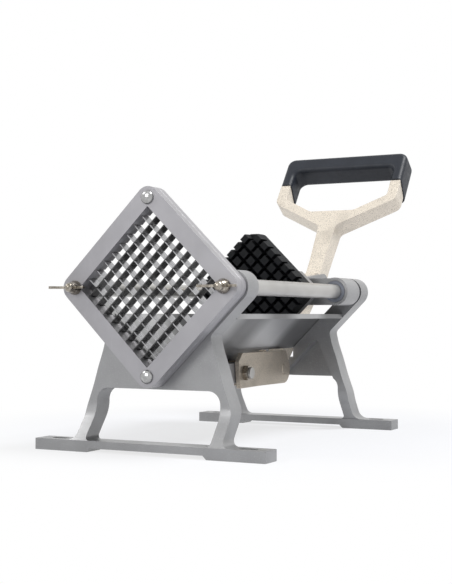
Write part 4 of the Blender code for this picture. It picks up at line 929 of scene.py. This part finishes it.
def stand(face_y, inward, pocket_start):
    """One stand with its foot. Depths run inward from its outer face, and its pockets are in the inner one."""

    def view(across, up, depth):
        """A point drawn from the front, at a depth inward from this stand's outer face."""
        return Vector((across, face_y + inward * depth, up))

    body = solid(kicked_stand(view))
    foot_front = -LEG_KICK - FOOT_LIP
    foot_rear = STAND_DEPTH - LEG_KICK + FOOT_LIP
    join(body, prism(foot_outline(), foot_front, foot_rear, view))
    past = STAND_DEPTH + CUT_OVERRUN
    slot_y = face_y + inward * (foot_front + foot_rear) / 2.0
    for name, side in SIDES:
        cut(body, prism(pocket_outline(side, pocket_start), STAND_DEPTH - POCKET_DEPTH, past, view))
        slot = slot_outline(side * (FOOT_HALF - FOOT_SLOT_IN), slot_y)
        cut(body, prism(slot, -CUT_OVERRUN, FOOT_HEIGHT + CUT_OVERRUN, top_view))
    bore(body, ROD_PLACES, STUD_HOLE_RADIUS, -CUT_OVERRUN, past, view)
    return body, view, past


def front_stand():
    """The stand behind the head, with the nut's pocket and the anchor's screw holes."""
    body, view, past = stand(STAND_Y, 1.0, ANCHOR_BOSS_HALF)
    bore(body, HEAD_SCREW_PLACES[1:], NUT_POCKET_RADIUS, -CUT_OVERRUN, NUT_POCKET_DEPTH, view)
    bore(body, ANCHOR_SCREW_PLACES, ANCHOR_SCREW[0] + GAP, STAND_DEPTH - SCREW_BITE - GAP, past, view)
    piece("front_stand", body)


def rear_stand():
    """The stand under the carriage, notched for the lever's lower arm."""
    body, view, past = stand(REAR_STAND_Y, -1.0, 0.0)
    half = LUG_INNER + TROUGH_SLOT_CLEAR
    cut(body, prism(rectangle(-half, half, REAR_NOTCH_FLOOR_Z, HEAD_Z), -CUT_OVERRUN, past, view))
    piece("rear_stand", body)


def trough():
    """The folded trough, its flanges cut away where it lies in the stands, and slotted for the lever."""
    rise = TROUGH_TOP_Z - HEAD_Z
    fold_x = TROUGH_HALF + rise - SHEET
    lip_z = TROUGH_TOP_Z - FLANGE_LIP
    right = [(0.0, HEAD_Z - TROUGH_INNER_HALF), (TROUGH_INNER_HALF + rise, TROUGH_TOP_Z)]
    right += [(FLANGE_REACH, TROUGH_TOP_Z), (FLANGE_REACH, lip_z), (FLANGE_REACH - SHEET, lip_z)]
    right += [(FLANGE_REACH - SHEET, TROUGH_TOP_Z - SHEET), (fold_x, TROUGH_TOP_Z - SHEET)]
    right.append((0.0, HEAD_Z - TROUGH_HALF))
    front = STAND_Y + TROUGH_END_CLEAR
    rear = REAR_STAND_Y - TROUGH_END_CLEAR
    body = solid(prism(mirrored(right), front, rear, front_view))
    inner_front = STAND_Y + STAND_DEPTH + GAP
    inner_rear = REAR_STAND_Y - STAND_DEPTH - GAP
    keep = fold_x + GAP / 2.0
    far = FLANGE_REACH + CUT_OVERRUN
    for start, end in ((front - CUT_OVERRUN, inner_front), (inner_rear, rear + CUT_OVERRUN)):
        for span in ((-far, -keep), (keep, far)):
            flange = rectangle(*span, lip_z - CUT_OVERRUN, TROUGH_TOP_Z + CUT_OVERRUN)
            cut(body, prism(flange, start, end, front_view))
    half = LEVER_ARM_HALF + TROUGH_SLOT_CLEAR
    slot = arc((0.0, rear - TROUGH_SLOT_START + half), half, math.pi, math.tau)
    slot += [(half, rear + CUT_OVERRUN), (-half, rear + CUT_OVERRUN)]
    bottom = HEAD_Z - TROUGH_HALF
    cut(body, prism(slot, bottom - CUT_OVERRUN, bottom + half + 2.0 * SHEET * ROOT_TWO, top_view))
    piece("trough", body)


def pad_outline():
    """The casting's pad behind the pusher block: a diamond with its corners and its top cut off."""
    corner = PUSHER_CORNER - PAD_INSET
    half = (PUSHER_HALF_SIDE - PAD_INSET) * ROOT_TWO
    short = half - corner
    right = [(0.0, -corner), (short, -corner), (corner, -short), (corner, short)]
    right += [(half - PAD_ABOVE_HEAD, PAD_ABOVE_HEAD), (0.0, PAD_ABOVE_HEAD)]
    return mirrored([(across, HEAD_Z + up) for across, up in right])


def carriage():
    """The sliding casting: pad, hub, crossbar, sleeves on the rods, and two lugs for the lever."""
    low = HEAD_Z - SLEEVE_RADIUS + CROSSBAR_INSET
    high = HEAD_Z + SLEEVE_RADIUS - CROSSBAR_INSET
    inner = BUSH_RADIUS + GAP
    wrap = arc((ROD_X, HEAD_Z), (inner + SLEEVE_RADIUS) / 2.0, -QUARTER, -3.0 * QUARTER)
    bar = mirrored([(0.0, low), (ROD_X, low), *wrap, (ROD_X, high), (0.0, high)])
    body = solid(prism(bar, SLEEVE_Y + CROSSBAR_INSET, CROSSBAR_REAR_Y, front_view))
    rear = SLEEVE_Y + SLEEVE_LENGTH
    tube = [(inner, SLEEVE_Y), (SLEEVE_RADIUS, SLEEVE_Y), (SLEEVE_RADIUS, rear), (inner, rear)]
    for place in ROD_PLACES:
        join(body, turned(tube, place, front_view, hollow=True))
    join(body, prism(pad_outline(), PAD_Y, PAD_Y + PAD_DEPTH, front_view))
    hub = rectangle(-HUB_HALF_WIDTH, HUB_HALF_WIDTH, low + CROSSBAR_INSET, high - CROSSBAR_INSET)
    join(body, prism(hub, PAD_Y + PAD_DEPTH - JOIN_SINK, SLEEVE_Y + JOIN_SINK, front_view))
    start = CROSSBAR_REAR_Y - JOIN_SINK
    lug = [(start, low + CROSSBAR_INSET), *half_round(LEVER_PIVOT, LUG_END_RADIUS), (start, high - CROSSBAR_INSET)]
    for near, far in ((-LUG_OUTER, -LUG_INNER), (LUG_INNER, LUG_OUTER)):
        join(body, prism(lug, near, far, side_view))
    far = LUG_OUTER + CUT_OVERRUN
    bore(body, [LEVER_PIVOT], LEVER_PIN[0] + GAP, -far, far, side_view)
    span = (PAD_Y - CUT_OVERRUN, PAD_Y + PAD_DEPTH + CUT_OVERRUN)
    bore(body, PUSHER_SCREW_PLACES, PUSHER_SCREW[0] + GAP, *span, front_view)
    piece("carriage", body)


def bushes():
    """The plain bushes pressed into the sleeves, which run on the rods."""
    near = SLEEVE_Y - BUSH_PROUD
    far = SLEEVE_Y + SLEEVE_LENGTH + BUSH_PROUD
    inner = ROD_RADIUS + GAP
    profile = [(inner, near), (BUSH_RADIUS, near), (BUSH_RADIUS, far), (inner, far)]
    for (name, side), place in zip(SIDES, ROD_PLACES):
        piece(f"bush_{name}", solid(turned(profile, place, front_view, hollow=True)))


def stud_edges():
    """The edges of the studs across the block: one stud for each gap between the blades."""
    edges = []
    for index in range(BLADES_EACH_WAY + 1):
        middle = (index - BLADES_EACH_WAY / 2.0) * BLADE_PITCH
        edges.append(max(middle - STUD_BLOCK_WIDTH / 2.0, -PUSHER_HALF_SIDE))
        edges.append(min(middle + STUD_BLOCK_WIDTH / 2.0, PUSHER_HALF_SIDE))
    return edges


def rounded_block_outline():
    """The pusher block's silhouette: a diamond whose cut-off corners run in smoothly."""
    short = PUSHER_HALF_SIDE * ROOT_TWO - PUSHER_CORNER
    side = [(PUSHER_CORNER, -short), (PUSHER_CORNER, short)]
    corners = []
    for turn in range(4):
        corners += [(across, HEAD_Z + up, PUSHER_CORNER_ROUND) for across, up in side]
        side = [(-up, across) for across, up in side]
    return rounded(corners)


def pusher_block():
    """The moulded block: a grid of faces whose stud cells are drawn out forward with a taper."""
    bm = bmesh.new()
    edges = stud_edges()
    last = len(edges) - 1
    grid = {}
    for column, along in enumerate(edges):
        for row, across in enumerate(edges):
            across_head, up = turned_to_diamond(along, across)
            grid[column, row] = bm.verts.new((across_head, PUSHER_BASE_Y, up))
    studs = []
    for column in range(last):
        for row in range(last):
            ring = ((column, row), (column + 1, row), (column + 1, row + 1), (column, row + 1))
            face = bm.faces.new([grid[spot] for spot in ring])
            corner_cell = column in (0, last - 1) and row in (0, last - 1)
            if column % 2 == 0 and row % 2 == 0 and not corner_cell:
                studs.append(face)
    base = bmesh.ops.extrude_face_region(bm, geom=bm.faces[:])["geom"]
    bmesh.ops.translate(bm, verts=of_kind(base, bmesh.types.BMVert), vec=(0.0, PUSHER_BASE, 0.0))
    bmesh.ops.dissolve_faces(bm, faces=of_kind(base, bmesh.types.BMFace))
    for face in bmesh.ops.extrude_discrete_faces(bm, faces=studs)["faces"]:
        middle = face.calc_center_median()
        for vert in face.verts:
            vert.co = middle + (vert.co - middle) * STUD_TOP_SHARE
            vert.co.y -= STUD_BLOCK_HEIGHT
    body = solid(face_outward(bm))
    front = PUSHER_BASE_Y - STUD_BLOCK_HEIGHT - CUT_OVERRUN
    back = PUSHER_BASE_Y + PUSHER_BASE
    rear = back + CUT_OVERRUN
    boolean(body, prism(rounded_block_outline(), front, rear, front_view), "INTERSECT")
    tip = back - SCREW_BITE
    bore(body, PUSHER_SCREW_PLACES, PUSHER_SCREW[0] + GAP, tip - GAP, rear, front_view)
    piece("pusher_block", body)
    for number, place in enumerate(PUSHER_SCREW_PLACES, 1):
        screw(f"pusher_screw_{number}", place, PUSHER_SCREW, PAD_Y + PAD_DEPTH + GAP, tip)


def arm_outline():
    """The lever's lower arm seen from the side: a bar with a round boss at each end."""
    run = math.atan2(LINK_END[1] - LEVER_PIVOT[1], LINK_END[0] - LEVER_PIVOT[0])
    near = math.asin(LEVER_ARM_WIDTH / 2.0 / LEVER_BOSS_RADIUS)
    far = math.asin(LEVER_ARM_WIDTH / 2.0 / LEVER_FOOT_RADIUS)
    boss = arc(LEVER_PIVOT, LEVER_BOSS_RADIUS, run + near, run + math.tau - near, 2 * END_STEPS)
    return boss + arc(LINK_END, LEVER_FOOT_RADIUS, run - math.pi + far, run + math.pi - far, 2 * END_STEPS)


def grip_end(depth):
    """How far along the lever the grip starts, which is lower at the back."""
    return GRIP_START_S - GRIP_SLANT * (depth + GRIP_FRONT) / GRIP_DEPTH


def yoke_outline():
    """The stem, parallel between the lugs, and its fork, up to where the grip starts."""
    inner = YOKE_HALF_WIDTH - YOKE_ARM
    right = [
        (0.0, 0.0, 0.0),
        (LEVER_HALF, 0.0, 0.0),
        (LEVER_HALF, STEM_PARALLEL_S, 0.0),
        (CROTCH_HALF, CROTCH_S, CROTCH_ROUND),
        (YOKE_HALF_WIDTH, YOKE_OUTER_S, YOKE_ROUND),
        (YOKE_HALF_WIDTH, GRIP_START_S, 0.0),
        (inner, GRIP_START_S, 0.0),
        (inner, YOKE_INNER_S, YOKE_INNER_ROUND),
        (YOKE_FLOOR_HALF, YOKE_FLOOR_S, YOKE_ROUND),
        (0.0, YOKE_FLOOR_S, 0.0),
    ]
    return mirrored(rounded(right))


def hoop(inset, start):
    """The grip's outline seen from the front of the lever, drawn in by an inset, down to where it starts."""
    outer = YOKE_HALF_WIDTH + GRIP_WIDER - inset
    inner = YOKE_HALF_WIDTH + GRIP_WIDER - GRIP_LEG + inset
    top = GRIP_OUTER_S - inset
    under = GRIP_INNER_S + inset
    right = [(0.0, top, 0.0), (outer, top, GRIP_OUTER_ROUND - inset), (outer, start, 0.0)]
    right += [(inner, start, 0.0), (inner, under, GRIP_INNER_ROUND + inset), (0.0, under, 0.0)]
    return mirrored(rounded(right))


def core(grow):
    """The hoop inside the grip that closes the fork, grown by a clearance for the grip's cavity."""
    middle = GRIP_DEPTH / 2.0 - GRIP_FRONT
    half = CORE_DEPTH / 2.0 + grow
    return prism(hoop(CORE_WALL - grow, CORE_START_S), middle - half, middle + half, lever_view)


def lever():
    """The lever: lower arm, pivot boss, stem, fork and the grip's core in one casting, and its foot's pin."""

    def yoke_view(across, along, depth):
        """A point of the yoke, its two arms trimmed to the slanting end of the grip."""
        if along > GRIP_START_S - GAP:
            along = grip_end(depth) - GAP
        return lever_view(across, along, depth)

    body = solid(prism(yoke_outline(), -LEVER_FACE, LEVER_DEPTH - LEVER_FACE, yoke_view))
    join(body, prism(arm_outline(), -LEVER_ARM_HALF, LEVER_ARM_HALF, side_view))
    join(body, core(0.0))
    far = LEVER_HALF + CUT_OVERRUN
    bore(body, (LEVER_PIVOT, LINK_END), LEVER_PIN[0] + GAP, -far, far, side_view)
    piece("lever", body)
    half = LEVER_ARM_HALF + GAP
    piece("lever_foot_pin", solid(round_bar(LINK_END, LEVER_PIN[0], -half, half, side_view)))


def grip():
    """The moulded grip: a stack of outlines whose edges turn on a round, hollow for the core."""
    rims = arc((GRIP_EDGE, GRIP_EDGE), GRIP_EDGE, -QUARTER, -math.pi, GRIP_EDGE_STEPS)
    layout = [(-GRIP_FRONT + sink, inset) for sink, inset in reversed(rims)]
    layout += [(GRIP_DEPTH - GRIP_FRONT - sink, inset) for sink, inset in rims]
    bm = bmesh.new()
    layers = []
    for depth, inset in layout:
        ring = []
        for across, along in hoop(inset, GRIP_START_S):
            if along < GRIP_START_S + GAP:
                along = grip_end(depth)
            ring.append(bm.verts.new(lever_view(across, along, depth)))
        layers.append(ring)
    for near, far in zip(layers, layers[1:]):
        bridge(bm, near, far)
    bm.faces.new(layers[0])
    bm.faces.new(layers[-1])
    body = solid(face_outward(bm))
    cut(body, core(GAP))
    piece("grip", body)


def anchor():
    """The bracket on the front stand that holds the link's fixed pivot, and its screws."""
    seat = STAND_Y + STAND_DEPTH + GAP
    face = seat + ANCHOR_FLANGE_DEPTH
    low = LINK_PIVOT[1] - ANCHOR_FLANGE_DROP
    high = LINK_PIVOT[1] + ANCHOR_FLANGE_RISE
    body = solid(prism(rectangle(-ANCHOR_FLANGE_HALF, ANCHOR_FLANGE_HALF, low, high), seat, face, front_view))
    start = seat + ANCHOR_FLANGE_DEPTH / 2.0
    tongue = half_round(LINK_PIVOT, ANCHOR_TONGUE_RADIUS) + [(start, high - GAP), (start, low + GAP)]
    join(body, prism(tongue, -ANCHOR_TONGUE_HALF, ANCHOR_TONGUE_HALF, side_view))
    far = ANCHOR_TONGUE_HALF + CUT_OVERRUN
    bore(body, [LINK_PIVOT], ANCHOR_BOLT[0] + GAP, -far, far, side_view)
    bore(body, ANCHOR_SCREW_PLACES, ANCHOR_SCREW[0] + GAP, seat - CUT_OVERRUN, face + CUT_OVERRUN, front_view)
    for (name, side), place in zip(SIDES, ANCHOR_SCREW_PLACES):
        screw(f"anchor_screw_{name}", place, ANCHOR_SCREW, face + GAP, STAND_Y + STAND_DEPTH - SCREW_BITE)
    piece("anchor_bracket", body)


def cheek_outline():
    """One cheek of the link seen from the side: a chamfered nose, a top under the trough and a round heel."""
    front = LINK_PIVOT[0] - LINK_NOSE
    low = LINK_PIVOT[1] - LINK_RADIUS
    heel = arc(LINK_END, LINK_HEEL_RADIUS, *LINK_HEEL_SPAN)
    corners = [
        (front + LINK_NOSE_CHAMFER, LINK_TOP_Z, LINK_EDGE_ROUND),
        (front, LINK_TOP_Z - LINK_NOSE_CHAMFER, LINK_EDGE_ROUND),
        (front + LINK_NOSE_SLANT, low, LINK_EDGE_ROUND),
        (LINK_PIVOT[0] + LINK_BELLY, low + LINK_BELLY_RISE, LINK_BELLY_ROUND),
    ]
    corners += [(back, up, 0.0) for back, up in heel]
    corners.append((LINK_END[0] + LINK_TOP_PAST, LINK_TOP_Z, LINK_EDGE_ROUND))
    return rounded(corners)


def link():
    """The link: two cheeks joined by a web, with a bore at each end, its flush pivots, and the anchor's bolt."""
    inner = LUG_INNER
    outer = inner + LINK_CHEEK
    body = solid(prism(cheek_outline(), inner, outer, side_view))
    join_x = inner + LINK_CHEEK / 2.0
    low = LINK_PIVOT[1] - LINK_RADIUS + LINK_BELLY_RISE + GAP
    web = rectangle(LINK_PIVOT[0] + LINK_WEB_START, LINK_PIVOT[0] + LINK_WEB_END, low, low + LINK_WEB_THICKNESS)
    join(body, prism(web, -join_x, join_x, side_view))
    join(body, prism(cheek_outline(), -outer, -inner, side_view))
    far = outer + CUT_OVERRUN
    radius = ANCHOR_BOLT[0]
    bore(body, (LINK_PIVOT, LINK_END), radius + GAP, -far, far, side_view)
    # The link and its pivots take the nickel painted darker as shade
    piece("link", body, PAINTED_SHADE_LINK_LOOK)
    face = outer + LINK_PIVOT_PROUD
    half = [(0.0, face), (radius - LINK_PIVOT_CHAMFER, face), (radius, face - LINK_PIVOT_CHAMFER)]
    half += [(radius, inner + GAP), (0.0, inner + GAP)]
    for name, side in SIDES:
        pivot = turned([(across, side * depth) for across, depth in half], LINK_END, side_view)
        piece(f"link_screw_{name}", solid(pivot), PAINTED_SHADE_LINK_LOOK)
    pin_and_nut("anchor_bolt", "anchor_bolt_nut", LINK_PIVOT, ANCHOR_BOLT, outer, DARK_STEEL)


# Stage: a floor that turns white away from the object, and plain soft light
WHITE = (1.0, 1.0, 1.0, 1.0)
FLOOR_HALF = 20.0
FLOOR_COLOUR = (0.82, 0.84, 0.91, 1.0)
FLOOR_OWN_LIGHT = 0.70
FLOOR_FADE_START = 0.14
FLOOR_FADE_END = 0.36
SKY_COLOUR = (0.96, 0.97, 1.0, 1.0)
SKY_STRENGTH = 0.16
LAMP_AIM = Vector((0.0, 0.0, 0.12))
# Each lamp's place, size and power
LAMPS = {
    "key": ((0.80, 0.20, 1.6), 0.7, 26.0),
    "front": ((-0.3, -1.9, 0.9), 1.0, 13.0),
    "left": ((-1.3, -0.7, 1.3), 0.7, 7.0),
}


def seen_directly(tree):
    """1 for camera, glossy and transmission rays, so that metal shows the white surroundings too."""
    path = add(tree, "ShaderNodeLightPath").outputs
    total = path["Is Camera Ray"]
    for kind in ("Is Glossy Ray", "Is Transmission Ray"):
        total = add(tree, "ShaderNodeMath", {0: total, 1: path[kind]}, operation="MAXIMUM").outputs[0]
    return total


def mix_out(tree, share, near, far, output):
    """Mix two shaders by a share into the output of a tree."""
    mix = add(tree, "ShaderNodeMixShader", {"Fac": share, 1: near.outputs[0], 2: far.outputs[0]})
    add(tree, output, {"Surface": mix.outputs[0]})


def make_floor():
    """The pale floor, which keeps the object's shadow near it and fades to white further out."""
    bm = bmesh.new()
    bmesh.ops.create_grid(bm, x_segments=1, y_segments=1, size=FLOOR_HALF)
    floor = solid(bm)
    floor.name = "floor"
    look = bpy.data.materials.new("floor")
    look.use_nodes = True
    tree = look.node_tree
    tree.nodes.clear()
    matt = add(tree, "ShaderNodeBsdfDiffuse", {"Color": FLOOR_COLOUR})
    white = add(tree, "ShaderNodeEmission", {"Color": WHITE})
    place = add(tree, "ShaderNodeTexCoord").outputs["Object"]
    away = add(tree, "ShaderNodeVectorMath", {0: place}, operation="LENGTH").outputs["Value"]
    span = {"Value": away, "From Min": FLOOR_FADE_START, "From Max": FLOOR_FADE_END, "To Min": FLOOR_OWN_LIGHT}
    fade = add(tree, "ShaderNodeMapRange", span, interpolation_type="SMOOTHSTEP").outputs["Result"]
    share = add(tree, "ShaderNodeMath", {0: seen_directly(tree), 1: fade}, operation="MULTIPLY").outputs[0]
    mix_out(tree, share, matt, white, "ShaderNodeOutputMaterial")
    floor.data.materials.append(look)


def make_world():
    """Soft even light, with white surroundings behind the object and in its reflections."""
    world = bpy.data.worlds.new("studio")
    bpy.context.scene.world = world
    world.use_nodes = True
    tree = world.node_tree
    tree.nodes.clear()
    soft = add(tree, "ShaderNodeBackground", {"Color": SKY_COLOUR, "Strength": SKY_STRENGTH})
    white = add(tree, "ShaderNodeBackground", {"Color": WHITE, "Strength": 1.0})
    mix_out(tree, seen_directly(tree), soft, white, "ShaderNodeOutputWorld")


def make_lamps():
    """The square soft lamps, which face the object."""
    for name, (place, size, power) in LAMPS.items():
        data = bpy.data.lights.new(name, "AREA")
        data.shape = "SQUARE"
        data.size = size
        data.energy = power
        item = bpy.data.objects.new(name, data)
        bpy.context.scene.collection.objects.link(item)
        item.location = place
        item.rotation_mode = "QUATERNION"
        item.rotation_quaternion = (LAMP_AIM - item.location).to_track_quat("-Z", "Y")


make_camera()
make_floor()
make_world()
make_lamps()
head_ring("front_plate", diamond(HALF_DIAGONAL, 0.0), 0.0, PLATE_DEPTH)
head_ring("blade_holder", notched_opening(), HOLDER_Y, HOLDER_DEPTH)
blades()
head_fasteners()
wing_nuts()
guide_rods()
front_stand()
rear_stand()
trough()
carriage()
bushes()
pusher_block()
pin_and_nut("lever_pin", "lever_pin_nut", LEVER_PIVOT, LEVER_PIN, LUG_OUTER)
lever()
grip()
anchor()
link()

bpy.context.scene.view_settings.view_transform = "Standard"
